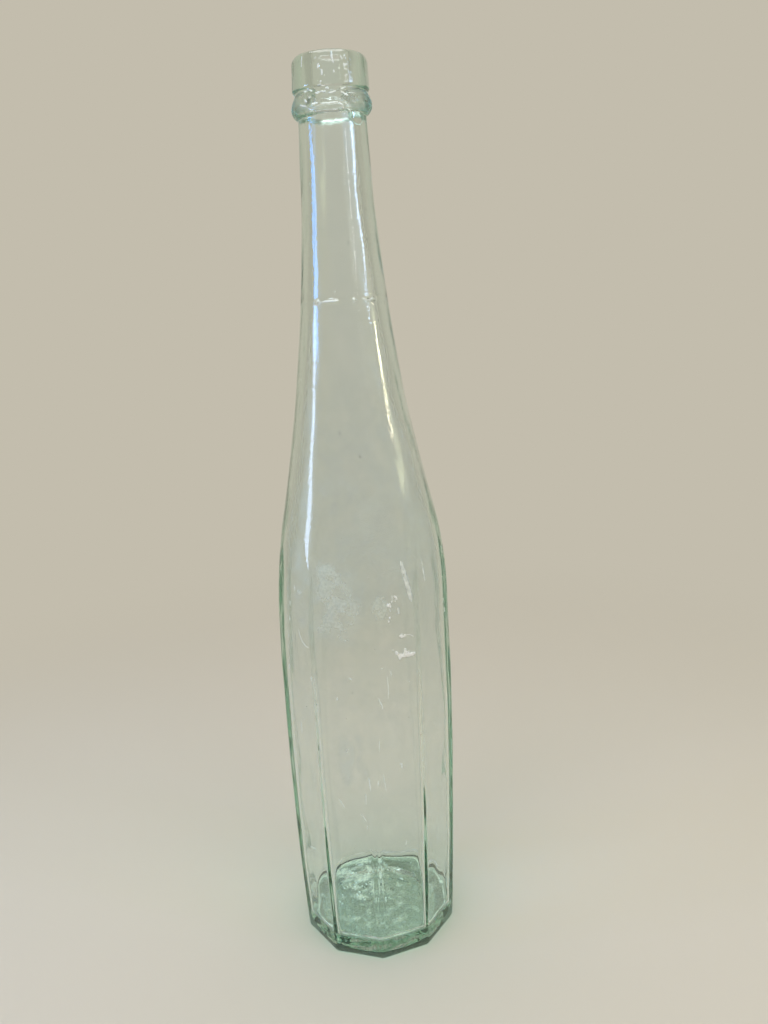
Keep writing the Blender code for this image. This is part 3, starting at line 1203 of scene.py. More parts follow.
@dataclass(frozen=True)
class SodaLimeGlass:
    """Soda-lime bottle glass, mould-blown and fire-polished, tinted aqua by its iron.

    It looks clear through one wall, pale green through the neck and deep aqua where the eye
    looks along the glass, as at the heel. The surface is glossy, with faint cords and waves. The
    string ring was chilled by the tool that pressed it, so its skin is frosty in places.
    """

    ior: float = 1.52
    absorbing: str = "#5BD7A9"
    absorption_per_metre: float = 17.0
    cord_width: float = 0.0022
    cord_length: float = 0.030
    cord_depth: float = 0.000008
    pit_width: float = 0.00080
    pit_depth: float = 0.000030
    pitted_from: float = 0.120
    pitted_to: float = 0.165
    run_width: float = 0.0030
    run_length: float = 0.0130
    run_depth: float = 0.00012
    chilled_patch: float = 0.0030
    chilled_span: tuple[float, float] = (0.35, 0.60)
    chilled_roughness: tuple[float, float] = (0.24, 0.40)
    veiled_roughness: float = 0.12
    shadow_tint: str = "#E9F3EE"

    def skin(
        self, tree: bpy.types.NodeTree, place: bpy.types.NodeSocket
    ) -> bpy.types.NodeSocket:
        """Add the nodes for the frosty string ring and the faintly greasy inner wall.

        Args:
            tree: the material's node tree.
            place: the places on the glass.

        Returns:
            The roughness.
        """
        patches = noise(tree, place, self.chilled_patch)
        frosty = mapped(tree, patches, self.chilled_span, self.chilled_roughness)
        ring = reckoned(tree, "MULTIPLY", attribute(tree, "chilled"), frosty)
        node = add_node(
            tree, "ShaderNodeMath", settings={"operation": "MULTIPLY_ADD"},
            values={1: self.veiled_roughness}, links={0: attribute(tree, "veiled"), 2: ring},
        )
        return node.outputs[0]

    def uneven(
        self, tree: bpy.types.NodeTree, place: bpy.types.NodeSocket
    ) -> bpy.types.NodeSocket:
        """Add the nodes for drawn cords, for pits above the panels and for runs inside.

        Args:
            tree: the material's node tree.
            place: the places on the glass.

        Returns:
            The normal.
        """
        cord_place = drawn_out(tree, place, self.cord_width, self.cord_length)
        cords = noise(tree, cord_place, 1.0, detail=1.5, roughness=0.45)
        height = add_node(tree, "ShaderNodeSeparateXYZ", links={"Vector": place}).outputs["Z"]
        pitted = mapped(tree, height, (self.pitted_from, self.pitted_to))
        pits = reckoned(tree, "MULTIPLY", noise(tree, place, self.pit_width), pitted)
        run_place = drawn_out(tree, place, self.run_width, self.run_length)
        runs = noise(tree, run_place, 1.0, detail=2.5, roughness=0.55)
        inner_runs = reckoned(tree, "MULTIPLY", runs, attribute(tree, "veiled"))
        normal = bumped(tree, cords, self.cord_depth)
        normal = bumped(tree, pits, self.pit_depth, normal)
        return bumped(tree, inner_runs, self.run_depth, normal)

    def material(self) -> bpy.types.Material:
        """Build the material.

        Returns:
            A clear glass with a tinted volume.
        """
        material, tree = new_material("soda_lime_glass_mould_blown")
        place = add_node(tree, "ShaderNodeTexCoord").outputs["Object"]
        shader = add_node(
            tree, "ShaderNodeBsdfPrincipled",
            values={
                "Base Color": linear("#FFFFFF"), "Metallic": 0.0, "IOR": self.ior,
                "Transmission Weight": 1.0,
            },
            links={"Roughness": self.skin(tree, place), "Normal": self.uneven(tree, place)},
        )
        clear = add_node(
            tree, "ShaderNodeBsdfTransparent", values={"Color": linear(self.shadow_tint)}
        )
        path = add_node(tree, "ShaderNodeLightPath")
        surface = add_node(
            tree, "ShaderNodeMixShader",
            links={
                0: path.outputs["Is Shadow Ray"], 1: shader.outputs["BSDF"],
                2: clear.outputs["BSDF"],
            },
        )
        volume = add_node(
            tree, "ShaderNodeVolumeAbsorption",
            values={"Color": linear(self.absorbing), "Density": self.absorption_per_metre},
        )
        add_node(
            tree, "ShaderNodeOutputMaterial",
            links={"Surface": surface.outputs["Shader"], "Volume": volume.outputs["Volume"]},
        )
        return material


@dataclass(frozen=True)
class DriedOilFilm:
    """Cooking oil dried to a skin: matt, grey-white, mottled by its runs and finely grained.

    It veils what is behind it a little, grimy where it is thin and milky where it lies thick.
    """

    name: str
    milky: str = "#EAE8DF"
    grimy: str = "#8F9899"
    milky_from: float = 0.02
    milky_to: float = 0.34
    run_size: float = 0.006
    run_span: tuple[float, float] = (0.3, 0.7)
    run_share: tuple[float, float] = (0.35, 1.65)
    grain_size: float = 0.0012
    grain_share: tuple[float, float] = (0.84, 1.16)
    roughness: float = 0.7

    def material(self) -> bpy.types.Material:
        """Build the material.

        Returns:
            A skin whose cover follows the mesh's film attribute.
        """
        material, tree = new_material(self.name)
        place = add_node(tree, "ShaderNodeTexCoord").outputs["Object"]
        runs = noise(tree, place, self.run_size, detail=3.0, roughness=0.55)
        grains = noise(tree, place, self.grain_size, roughness=0.6)
        run_share = mapped(tree, runs, self.run_span, self.run_share)
        grain_share = mapped(tree, grains, NOISE_SPAN, self.grain_share)
        mottled = reckoned(tree, "MULTIPLY", attribute(tree, "film"), run_share)
        cover = reckoned(tree, "MULTIPLY", mottled, grain_share, clamped=True)
        milkiness = mapped(tree, mottled, (self.milky_from, self.milky_to))
        colour = blended(tree, milkiness, self.grimy, self.milky)
        shader = add_node(
            tree, "ShaderNodeBsdfPrincipled",
            values={"Roughness": self.roughness, "Specular IOR Level": 0.3},
            links={"Base Color": colour, "Alpha": cover},
        )
        add_node(tree, "ShaderNodeOutputMaterial", links={"Surface": shader.outputs["BSDF"]})
        return material


@dataclass(frozen=True)
class CrumblyMatter:
    """Something dry and porous that lies on the glass, matt, with paler and darker crumbs; its
    white also paints glints and streaks of reflected light.

    Its cover is how much of the glass the thinnest and the thickest crumbs hide.
    """

    name: str
    pale: str
    dark: str
    crumb_size: float
    crumb_depth: float
    roughness: float = 0.9
    cover: tuple[float, float] = (1.0, 1.0)

    def material(self) -> bpy.types.Material:
        """Build the material.

        Returns:
            A matt crumbly surface.
        """
        material, tree = new_material(self.name)
        place = add_node(tree, "ShaderNodeTexCoord").outputs["Object"]
        crumbs = noise(tree, place, self.crumb_size, detail=3.0, roughness=0.6)
        shader = add_node(
            tree, "ShaderNodeBsdfPrincipled", values={"Roughness": self.roughness},
            links={
                "Base Color": blended(tree, mapped(tree, crumbs, NOISE_SPAN), self.dark, self.pale),
                "Normal": bumped(tree, crumbs, self.crumb_depth),
            },
        )
        if self.cover[0] < 1:
            cover = mapped(tree, crumbs, NOISE_SPAN, self.cover)
            tree.links.new(cover, shader.inputs["Alpha"])
        add_node(tree, "ShaderNodeOutputMaterial", links={"Surface": shader.outputs["BSDF"]})
        return material


class MarkMatter(Enum):
    """What the marks on the outside of the glass are made of, and the matt white of painted
    highlights.
    """

    # Starch paste and paper pulp dried on: off-white, porous, with tan edges.
    PASTE = CrumblyMatter("starch_paste_dried", "#F6F8F5", "#D5D6CE", 0.0005, 0.00006)
    # The same paste wiped thin with a wet cloth: a pale veil that the glass shows through. Its veil
    # also paints two streaks of reflected light on the panel arches.
    SMEAR = CrumblyMatter(
        "starch_paste_wiped_and_painted_streaks", "#F2F4EE", "#D2D9D0", 0.0020, 0.00001, 0.8, (0.30, 0.48)
    )
    # Glass torn open by grit: its rough edges scatter light, so it looks white. The same matt white
    # paints the glints as highlights.
    SCRATCH_AND_GLINT = CrumblyMatter("soda_lime_glass_scratched_and_painted_glints", "#F4F7F3", "#D3DBD2", 0.0003, 0.00002, 0.6)
    # Skin of dried oil broken into crumbs: off-white, waxy, greenish in the shade of the glass.
    CRUMBS = CrumblyMatter("cooking_oil_dried_crumbs", "#F7F8EF", "#D3D8C6", 0.0002, 0.00003, 0.6)
    # Lint and grit fallen from the air: matt, warm grey.
    DUST = CrumblyMatter("house_dust_settled", "#DCD7CA", "#A9A496", 0.0002, 0.00002)


@dataclass(frozen=True)
class FilmPatch:
    """A thicker place in a film: its middle, half sizes, thickness and how soft its edge is."""

    across: float
    along: float
    half_across: float
    half_along: float
    thickness: float
    softness: float = 1.0

    def at(self, across: np.ndarray, along: np.ndarray) -> np.ndarray:
        """Thickness that this patch adds.

        Args:
            across: places to one side, in metres.
            along: places up or away, in metres.

        Returns:
            The thicknesses there, from 0 to the patch's own.
        """
        aside, further = across - self.across, along - self.along
        off = np.hypot(aside / self.half_across, further / self.half_along)
        return self.thickness * smooth_step((1 + self.softness / 2 - off) / self.softness)


def film_piece(mesh: bpy.types.Mesh, film: np.ndarray, finish: DriedOilFilm) -> bpy.types.Object:
    """Make one film of the bottle from its sheet.

    Args:
        mesh: the sheet.
        film: how thick the film is at each point, from 0 to 1.
        finish: the film's finish.

    Returns:
        The piece, which rides on the bottle.
    """
    cover = mesh.attributes.new("film", 'FLOAT', 'POINT')
    cover.data.foreach_set("value", film.astype(np.float32))
    return new_piece(mesh, finish.material())


@dataclass(frozen=True)
class InnerHaze:
    """Film of dried oil on the inner wall, thickest on the front panel left of the edge.

    Its tide is the line that the last of the oil left on the wall as it dried.
    """

    glass: BottleGlass
    stand_off: float = 0.00005
    low: float = 0.0084
    high: float = 0.2900
    row_step: float = 0.0012
    tide_step: float = 0.0002
    foot_fade: float = 0.0003
    top_fade: float = 0.010
    columns: int = 200
    tide: float = 0.80
    tide_height: float = 0.0091
    tide_half_height: float = 0.0004
    tide_breaks: Ripple = Ripple(63, 0.5, (3, 19), (0.050, 0.200))
    covering: SmoothCurve = SmoothCurve((
        (0.010, 0.030), (0.080, 0.045), (0.130, 0.090), (0.150, 0.120), (0.190, 0.105),
        (0.225, 0.035), (0.290, 0.020),
    ))
    unevenness: Ripple = Ripple(61, 0.25, (1, 6), (0.020, 0.090))
    ragged: Ripple = Ripple(62, 0.0009, (3, 14), (0.009, 0.022))
    ragged_shift: float = 2.0
    unroll_radius: float = 0.0275
    patches: tuple[FilmPatch, ...] = (
        FilmPatch(-0.0118, 0.1518, 0.0036, 0.0030, 0.30, 1.4),
        FilmPatch(-0.0085, 0.1455, 0.0068, 0.0070, 0.24, 1.5),
        FilmPatch(-0.0090, 0.1370, 0.0062, 0.0080, 0.19, 1.5),
        FilmPatch(-0.0080, 0.1300, 0.0055, 0.0035, 0.17, 1.4),
        FilmPatch(-0.0240, 0.1430, 0.0035, 0.0100, 0.12, 1.4),
        FilmPatch(0.0054, 0.1405, 0.0027, 0.0046, 0.26, 0.25),
        FilmPatch(0.0100, 0.1500, 0.0200, 0.0120, 0.02, 1.0),
        FilmPatch(-0.0086, 0.0830, 0.0028, 0.0095, 0.16, 0.5),
        FilmPatch(-0.0034, 0.0845, 0.0013, 0.0105, 0.16, 0.5),
    )

    def film(self, turn: np.ndarray, height: np.ndarray) -> np.ndarray:
        """Thickness of the film.

        Args:
            turn: angles round the bottle.
            height: heights, in metres.

        Returns:
            The share of the glass that it covers there.
        """
        across = facing(turn) * self.unroll_radius + self.ragged.at(turn, height)
        along = height + self.ragged.at(turn + self.ragged_shift, height)
        film = self.covering.at(height) * (1 + self.unevenness.at(turn, height))
        for patch in self.patches:
            film = film + patch.at(across, along)
        off_tide = (height - self.tide_height) / self.tide_half_height
        broken = self.tide * (1 + self.tide_breaks.at(turn, 0.0))
        film = film + broken * np.maximum(1 - off_tide ** 2, 0)
        ends = smooth_step((height - self.low) / self.foot_fade)
        ends = ends * smooth_step((self.high - height) / self.top_fade)
        return np.clip(film, 0.0, 1.0) * ends

    def build(self) -> bpy.types.Object:
        """Build and dress the haze.

        Returns:
            The piece.
        """
        tide_end = self.tide_height + self.tide_half_height
        spans = ((self.low, tide_end, self.tide_step), (tide_end, self.high, self.row_step))
        heights = np.append(spaced(spans), self.high)
        turns = np.linspace(0, 2 * math.pi, self.columns, endpoint=False)
        turn, height = np.meshgrid(turns, heights)
        radius = self.glass.inner(turn, height) - self.stand_off
        points = self.glass.shifted(placed(radius, turn, height)).reshape(-1, 3)
        mesh = new_mesh("inner_haze", points, ring_faces(len(heights), self.columns))
        finish = DriedOilFilm("cooking_oil_dried_haze", "#F7E8DA", "#979792")
        return film_piece(mesh, self.film(turn, height).ravel(), finish)


@dataclass(frozen=True)
class FloorDeposit:
    """What settled from the oil on the inner floor: a speckled crust, thickest at the far left.

    It ends in a pale line where the floor turns up into the wall.
    """

    glass: BottleGlass
    stand_off: float = 0.00006
    columns: int = 160
    rings: int = 42
    rim_rings: int = 14
    middle_share: float = 0.02
    rim_from: float = 0.955
    rim_gap: float = 0.0001
    rim_line: float = 0.9
    rim_middle: float = 0.984
    rim_half: float = 0.014
    rim_end: float = 1.004
    rim_fade: float = 0.008
    even: float = 0.34
    ragged: Ripple = Ripple(71, 0.0012, (3, 15), (0.004, 0.012))
    ragged_shift: float = 1.0
    patches: tuple[FilmPatch, ...] = (
        FilmPatch(-0.0090, 0.0150, 0.0095, 0.0095, 0.30, 0.9),
        FilmPatch(-0.0050, 0.0020, 0.0060, 0.0050, 0.22, 0.8),
        FilmPatch(0.0060, 0.0030, 0.0070, 0.0090, 0.06, 1.0),
        FilmPatch(0.0000, -0.0140, 0.0140, 0.0040, 0.08, 1.0),
    )

    def build(self) -> bpy.types.Object:
        """Build and dress the deposit.

        Returns:
            The piece.
        """
        body = self.glass.body
        turns = np.linspace(0, 2 * math.pi, self.columns, endpoint=False)
        corner_height = np.full_like(turns, body.floor_height + body.floor_corner_round)
        edge = self.glass.inner(turns, corner_height) - body.floor_corner_round - self.rim_gap
        shares = np.concatenate([
            np.linspace(self.middle_share, self.rim_from, self.rings, endpoint=False),
            np.linspace(self.rim_from, 1.0, self.rim_rings),
        ])
        radius = shares[:, None] * edge[None, :]
        turn = np.broadcast_to(turns, radius.shape)
        lifted = body.floor_at(turn, radius) + self.stand_off
        points = placed(radius, turn, lifted)
        across = points[..., 0] + self.ragged.at(turn, radius)
        away = points[..., 1] + self.ragged.at(turn + self.ragged_shift, radius)
        film = np.full(radius.shape, self.even)
        for patch in self.patches:
            film = film + patch.at(across, away)
        off_rim = (shares - self.rim_middle) / self.rim_half
        film = film + self.rim_line * np.maximum(1 - off_rim ** 2, 0.0)[:, None]
        ends = smooth_step((self.rim_end - shares) / self.rim_fade)[:, None]
        film = np.clip(film * ends, 0.0, 1.0)
        middle = tuple(range(self.columns))
        faces = [middle, *ring_faces(len(shares), self.columns, outwards=False)]
        mesh = new_mesh("floor_deposit", self.glass.shifted(points).reshape(-1, 3), faces)
        finish = DriedOilFilm(
            "cooking_oil_dried_crust", milky="#DDDCC4", grimy="#959C82", milky_from=0.34,
            milky_to=0.72, run_size=0.0040, grain_size=0.0007, grain_share=(0.3, 1.9),
        )
        return film_piece(mesh, film.ravel(), finish)


@dataclass(frozen=True)
class DepositCrumbs:
    """Crumbs on the inner floor: two drifts left of the middle and far left, and strays."""

    glass: BottleGlass
    seed: int = 15
    drifts: tuple[tuple[float, float, float, int], ...] = (
        (-0.0095, 0.0010, 0.0036, 38), (-0.0115, 0.0130, 0.0036, 22), (0.0020, -0.0045, 0.0020, 8),
    )
    strays: int = 24
    smallest: float = 0.00014
    largest: float = 0.00046
    reach: float = 0.0225
    stands_up: float = 0.45
    lengthening: tuple[float, float] = (0.8, 1.6)
    flattening: float = 0.6
    widest_turn: float = 3.1
    lumpiness: tuple[float, float] = (0.8, 1.2)

    def places(self, chance: np.random.Generator) -> list[tuple[float, float]]:
        """Where the crumbs lie.

        Args:
            chance: where the scatter comes from.

        Returns:
            One place across and away for each crumb.
        """
        found = []
        for across, away, spread, count in self.drifts:
            scatter = chance.normal(0, spread, (count, 2))
            found.extend((across + step[0], away + step[1]) for step in scatter)
        for _ in range(self.strays):
            turn, out = chance.uniform(0, 2 * math.pi), self.reach * math.sqrt(chance.uniform(0, 1))
            found.append((out * math.cos(turn), out * math.sin(turn)))
        return [place for place in found if math.hypot(*place) < self.reach]

    def crumb(self, across: float, away: float, chance: np.random.Generator) -> Skin:
        """One lumpy crumb.

        Args:
            across: its place to the side.
            away: its place away from the front.
            chance: where its size and its lumps come from.

        Returns:
            Its points and faces.
        """
        turn, out = math.atan2(across, -away), math.hypot(across, away)
        lift = at_one_place(self.glass.body.floor_at, turn, out)
        size = self.smallest * (self.largest / self.smallest) ** chance.uniform(0, 1) ** 2
        middle = np.array((across, away, lift + size * self.stands_up))
        halves = (size * chance.uniform(*self.lengthening), size, size * self.flattening)
        egg = Bubble(middle, chance.uniform(0, self.widest_turn), halves)
        points, faces = self.glass.seeds.bubble(egg)
        lumps = chance.uniform(*self.lumpiness, (len(points), 1))
        return middle + (points - middle) * lumps, [face[::-1] for face in faces]

    def build(self) -> bpy.types.Object:
        """Build and dress the crumbs.

        Returns:
            The piece.
        """
        chance = np.random.default_rng(self.seed)
        places = self.places(chance)
        points, faces = joined(self.crumb(across, away, chance) for across, away in places)
        mesh = new_mesh("deposit_crumbs", self.glass.shifted(points), faces)
        return new_piece(mesh, MarkMatter.CRUMBS.value.material())


@dataclass(frozen=True)
class Stroke:
    """One mark on the glass: its path in degrees and millimetres, and its size in millimetres."""

    path: tuple[tuple[float, float], ...]
    half_width: float
    thickness: float = 0.06
    raggedness: float = 0.35


@dataclass(frozen=True)
class GlassMarks:
    """Marks of one kind on the outside of the glass, each a thin closed ribbon."""

    name: str
    mark_matter: MarkMatter
    strokes: tuple[Stroke, ...]
    glass: BottleGlass
    seed: int = 5
    stand_off: float = 0.00001
    step: float = 0.00012
    top_places: tuple[float, ...] = (-1.0, -0.55, 0.0, 0.55, 1.0)
    under_places: tuple[float, ...] = (0.5, -0.5)
    fewest_rings: int = 7
    easings: int = 4
    end_fullness: float = 0.02

    def ribbon(self, stroke: Stroke, chance: np.random.Generator) -> Skin:
        """One mark's closed ribbon.

        Args:
            stroke: the mark.
            chance: where its ragged edges come from.

        Returns:
            Its points and faces.
        """
        path = np.array(stroke.path, float) * (math.pi / 180, MILLIMETRE)
        middle = path.mean(axis=0)
        radius = float(self.glass.outer(middle[:1], middle[1:])[0])
        flat = path * (radius, 1.0)
        lengths = np.concatenate([[0.0], np.cumsum(np.hypot(*np.diff(flat, axis=0).T))])
        count = max(self.fewest_rings, int(lengths[-1] / self.step))
        along = np.linspace(0, lengths[-1], count)
        line = np.stack([np.interp(along, lengths, flat[:, axis]) for axis in (0, 1)], axis=1)
        line = self.eased(line)
        way = np.gradient(line, axis=0)
        way /= np.linalg.norm(way, axis=1, keepdims=True)
        side = np.stack((-way[:, 1], way[:, 0]), axis=1)
        share = np.linspace(-1, 1, count)
        swell = np.sqrt(np.maximum(1 - share ** 4, self.end_fullness))
        edges = 1 + stroke.raggedness * chance.uniform(-1, 1, (count, 2))
        half = stroke.half_width * MILLIMETRE * swell
        rings = []
        for place in (*self.top_places, *self.under_places):
            wide = half * edges[:, 0 if place < 0 else 1]
            spot = line + side * (place * wide)[:, None]
            turn, height = spot[:, 0] / radius, spot[:, 1]
            rise = 0.0
            if len(rings) < len(self.top_places):
                rise = stroke.thickness * MILLIMETRE * swell * (1 - place ** 2)
            out = self.glass.outer(turn, height) + self.stand_off + rise
            rings.append(self.glass.shifted(placed(out, turn, height)))
        around = len(rings)
        points = np.stack(rings, axis=1).reshape(-1, 3)
        last = count * around - 1
        start, end = tuple(range(around)), tuple(range(last, last - around, -1))
        return points, [start, end, *ring_faces(count, around, outwards=False)]

    def eased(self, line: np.ndarray) -> np.ndarray:
        """The line with its corners eased and its ends kept."""
        for _ in range(self.easings):
            line[1:-1] = (line[:-2] + 2 * line[1:-1] + line[2:]) / 4
        return line

    def build(self) -> bpy.types.Object:
        """Build and dress the marks.

        Returns:
            The piece.
        """
        chance = np.random.default_rng(self.seed)
        points, faces = joined(self.ribbon(stroke, chance) for stroke in self.strokes)
        return new_piece(new_mesh(self.name, points, faces), self.mark_matter.value.material())


@dataclass(frozen=True)
class OutsideWearAndGlints:
    """Old paste, scratches, painted glints and dust on the outside, where the photograph has them.

    The glints are painted highlights: matt white strokes at the lip's foot, on the string ring
    and along the neck's bead, where the glass sparkles. Two of the paste smears are painted
    reflections of light along the panel arches.
    """

    glass: BottleGlass
    seed: int = 9
    speck_run: float = 0.5
    speck_drop: float = 0.3
    speck_size: tuple[float, float, float] = (0.20, 0.08, 0.4)
    loose_dust: int = 90
    dust_heights: tuple[float, float] = (8, 296)
    dust_runs: tuple[float, float] = (-0.5, 0.5)
    dust_rises: tuple[float, float] = (0.15, 0.5)
    dust_halves: tuple[float, float] = (0.05, 0.12)
    dust_thickness: float = 0.05
    dust_raggedness: float = 0.4
    paste: tuple[Stroke, ...] = (
        Stroke(((22.4, 130.1), (23.7, 129.9), (25.0, 129.7)), 0.66, 0.08, 0.7),
        Stroke(((24.6, 129.5), (26.0, 129.9), (26.8, 130.3)), 0.46, 0.06, 0.7),
        Stroke(((26.3, 130.2), (29.6, 129.9), (32.2, 128.8)), 0.10, 0.03),
        Stroke(((20.8, 123.2), (24.3, 122.8), (28.2, 122.7), (32.6, 122.8)), 0.92, 0.08, 0.5),
        Stroke(((21.0, 122.6), (23.6, 122.2)), 0.84, 0.10, 0.7),
        Stroke(((19.6, 124.9), (20.1, 124.2), (20.6, 123.4)), 0.56, 0.10, 0.7),
        Stroke(((17.4, 125.3), (18.2, 125.5)), 0.22, 0.05, 0.5),
        Stroke(((25.5, 125.4), (26.2, 124.8)), 0.40, 0.08, 0.7),
        Stroke(((25.4, 124.4), (27.0, 123.7)), 0.80, 0.10, 0.7),
        Stroke(((28.4, 124.3), (28.0, 123.6)), 0.52, 0.08, 0.7),
        Stroke(((15.3, 141.2), (16.1, 141.7), (17.4, 142.0)), 0.58, 0.10, 0.6),
        Stroke(((16.7, 141.1), (17.9, 141.0)), 0.42, 0.08, 0.6),
        Stroke(((18.0, 142.9), (18.7, 142.6)), 0.44, 0.08, 0.6),
        Stroke(((18.7, 144.9), (18.7, 143.3)), 0.09, 0.03, 0.5),
        Stroke(((19.7, 144.5), (21.1, 144.1), (22.2, 143.2)), 0.38, 0.08, 0.5),
        Stroke(((16.4, 137.6), (16.8, 136.8)), 0.34, 0.05, 0.5),
        Stroke(((15.5, 136.2), (16.1, 135.6)), 0.28, 0.05, 0.5),
    )
    smears_and_painted_streaks: tuple[Stroke, ...] = (
        # The first two are painted reflections: pale streaks where light glances off the rounded
        # edges of the panel arches. The others are wiped paste.
        Stroke(((26.2, 156.0), (28.2, 150.6), (30.2, 145.4), (31.6, 141.6)), 0.85, 0.01, 0.12),
        Stroke(((42.6, 154.5), (43.6, 150.5), (44.6, 146.6)), 0.45, 0.01, 0.12),
        Stroke(((22.4, 140.3), (22.9, 138.0)), 0.50, 0.01, 0.15),
        Stroke(((20.7, 143.8), (20.9, 142.4)), 0.34, 0.01, 0.15),
        Stroke(((17.1, 140.3), (17.0, 139.3)), 0.30, 0.01, 0.15),
    )
    scratches: tuple[Stroke, ...] = (
        Stroke(
            ((-47.8, 131.8), (-46.4, 129.6), (-44.0, 127.8), (-40.4, 126.6), (-37.4, 126.6)),
            0.16, 0.02,
        ),
        Stroke(((-52.4, 146.9), (-51.6, 145.2)), 0.22, 0.02),
        Stroke(((-57.7, 140.6), (-57.3, 139.1)), 0.20, 0.02),
        Stroke(((-58.4, 135.2), (-58.1, 133.3)), 0.20, 0.02),
        Stroke(((-11.2, 116.9), (-9.6, 116.2)), 0.20, 0.02),
        Stroke(((-20.0, 109.2), (-20.7, 107.9)), 0.20, 0.02),
        Stroke(((6.5, 109.0), (7.3, 107.4), (8.4, 106.2), (8.7, 104.6)), 0.17, 0.02),
        Stroke(((-36.7, 116.1), (-36.8, 114.6)), 0.20, 0.02),
        Stroke(((-62.6, 116.0), (-62.7, 114.6)), 0.18, 0.02),
        Stroke(((15.5, 118.4), (15.7, 116.2)), 0.18, 0.02),
        Stroke(((9.7, 119.8), (10.1, 119.3)), 0.24, 0.02),
        Stroke(((27.2, 112.9), (27.7, 112.5)), 0.24, 0.02),
        Stroke(((66.4, 133.6), (66.9, 131.4)), 0.22, 0.02),
        Stroke(((66.0, 137.0), (65.2, 135.2)), 0.14, 0.02),
        Stroke(((12.9, 116.4), (13.4, 112.0), (12.8, 108.0)), 0.10, 0.01),
        Stroke(((5.6, 93.3), (5.4, 88.8)), 0.13, 0.02),
        Stroke(((18.6, 81.9), (20.0, 82.2), (20.2, 80.2)), 0.24, 0.02),
        Stroke(((-2.4, 79.3), (-1.6, 74.0)), 0.16, 0.02),
        Stroke(((3.7, 77.5), (3.3, 75.3)), 0.24, 0.02),
        Stroke(((7.0, 79.7), (8.5, 72.8)), 0.11, 0.02),
        Stroke(((-4.9, 72.9), (-5.2, 68.0)), 0.10, 0.02),
        Stroke(((-8.8, 64.1), (-5.5, 61.2)), 0.15, 0.02),
        Stroke(((-5.3, 59.4), (-5.2, 58.2)), 0.22, 0.02),
        Stroke(((-23.7, 69.1), (-20.3, 65.9)), 0.13, 0.02),
        Stroke(((21.5, 50.5), (20.7, 48.5)), 0.14, 0.02),
        Stroke(((-52.6, 95.4), (-53.4, 90.7)), 0.16, 0.02),
        Stroke(((-57.1, 42.2), (-49.2, 43.2)), 0.12, 0.02),
        Stroke(((-16.6, 309.2), (-15.0, 310.6)), 0.26, 0.02),
        Stroke(((-10.8, 307.2), (-10.4, 308.9)), 0.26, 0.02),
        Stroke(((-13.6, 305.1), (-12.4, 305.8)), 0.26, 0.02),
        Stroke(((6.5, 307.7), (6.9, 308.5)), 0.20, 0.02),
        Stroke(((-20.6, 312.0), (-19.0, 312.5)), 0.14, 0.02),
        Stroke(((17.5, 312.6), (18.6, 311.9), (20.6, 311.4)), 0.18, 0.02),
        Stroke(((21.5, 310.6), (22.6, 308.8)), 0.16, 0.02),
    )
